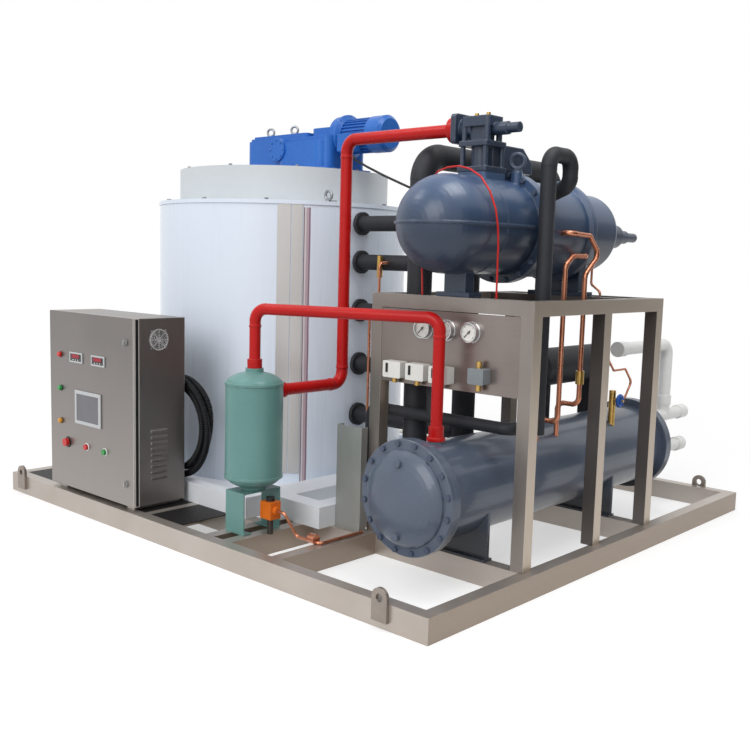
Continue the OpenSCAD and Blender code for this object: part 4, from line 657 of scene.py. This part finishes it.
# floor, soft light, and a dark flag on the right that only reflections see
studio = {"floor": (198, 198, 198), "floorPatch": (202, 202, 202), "floorCloud": (2, 2, 2), "floorRough": 0.8,
          "floorGloss": 0.05, "floorReach": 60, "lift": 0.5, "sky": 0.66,
          "sun": 1.3, "spread": 40, "from": (0.15, -0.9, 0.5),
          "flag": (34, 34, 36), "flagShade": (28, 28, 30), "flagX": 5.2, "flagY": (-1.6, 9), "flagZ": (0.02, 4.2),
          "boxes": {"topBox": {"power": 17, "size": 1.15, "beam": 180, "spot": (-1.2, -2.2, 4.2),
                               "aim": (0.6, -0.4, 1.2)},
                    "overBox": {"power": 14, "size": 1.6, "beam": 90, "spot": (1.7, -0.6, 4.2),
                                "aim": (1.0, -0.5, 1.4)}}}


def flatSheet(name, corners, material):
    mesh = bpy.data.meshes.new(name)
    mesh.from_pydata(corners, [], [(0, 1, 2, 3)])
    mesh.materials.append(material)
    sheet = bpy.data.objects.new(name, mesh)
    scene.collection.objects.link(sheet)
    return sheet


# 1 for what the camera, a mirror or glass sees, so the background is white there and lights at a plain level
def seenDirectly(tree):
    path = tree.nodes.new("ShaderNodeLightPath").outputs
    mirrored = sums(tree, "MAXIMUM", path["Is Glossy Ray"], path["Is Transmission Ray"])
    return sums(tree, "MAXIMUM", path["Is Camera Ray"], mirrored)


def paleFloor(s):
    material, tree, shader, coords = startFinish("floorPale")
    cloud = grain(tree, coords, s["floorCloud"], 2)
    colour = blendColour(tree, cloud, tint(*s["floor"]), tint(*s["floorPatch"]))
    tree.links.new(colour, shader.inputs["Base Color"])
    shader.inputs["Roughness"].default_value = s["floorRough"]
    shader.inputs["Specular IOR Level"].default_value = s["floorGloss"]
    shader.inputs["Emission Color"].default_value = (1, 1, 1, 1)
    tree.links.new(sums(tree, "MULTIPLY", seenDirectly(tree), s["lift"]), shader.inputs["Emission Strength"])
    return material


reach = studio["floorReach"]
flatSheet("studioFloor", [(-reach, -reach, 0), (reach, -reach, 0), (reach, reach, 0), (-reach, reach, 0)],
          paleFloor(studio))
flagX, (flagNear, flagFar), (flagLow, flagHigh) = studio["flagX"], studio["flagY"], studio["flagZ"]
flagDark = finish("flagDark", studio["flag"], studio["flagShade"], 4, cloud=1, rough=(0.8, 0.9), bump=0.0)
flag = flatSheet("darkFlag", [(flagX, flagNear, flagLow), (flagX, flagFar, flagLow), (flagX, flagFar, flagHigh),
                              (flagX, flagNear, flagHigh)], flagDark)
flag.visible_camera = False
flag.visible_shadow = False
flag.visible_diffuse = False

world = bpy.data.worlds.new("studioWorld")
scene.world = world
world.use_nodes = True
sky = world.node_tree
sky.nodes.clear()
level = spanned(sky, seenDirectly(sky), 0.0, 1.0, studio["sky"], 1.0)
backdrop = wire(sky, "ShaderNodeBackground", Color=(1, 1, 1, 1), Strength=level)
wire(sky, "ShaderNodeOutputWorld", Surface=backdrop.outputs[0])

keyData = bpy.data.lights.new("keyLight", "SUN")
keyData.energy = studio["sun"]
keyData.angle = math.radians(studio["spread"])
keyLight = bpy.data.objects.new("keyLight", keyData)
keyLight.matrix_world = Vector(studio["from"]).to_track_quat("Z", "Y").to_matrix().to_4x4()
scene.collection.objects.link(keyLight)
for name, box in studio["boxes"].items():
    boxData = bpy.data.lights.new(name, "AREA")
    boxData.energy = box["power"]
    boxData.size = box["size"]
    boxData.spread = math.radians(box["beam"])
    softBox = bpy.data.objects.new(name, boxData)
    aim = Vector(box["aim"]) - Vector(box["spot"])
    softBox.matrix_world = Matrix.Translation(box["spot"]) @ aim.to_track_quat("-Z", "Y").to_matrix().to_4x4()
    scene.collection.objects.link(softBox)
print("studio ready")
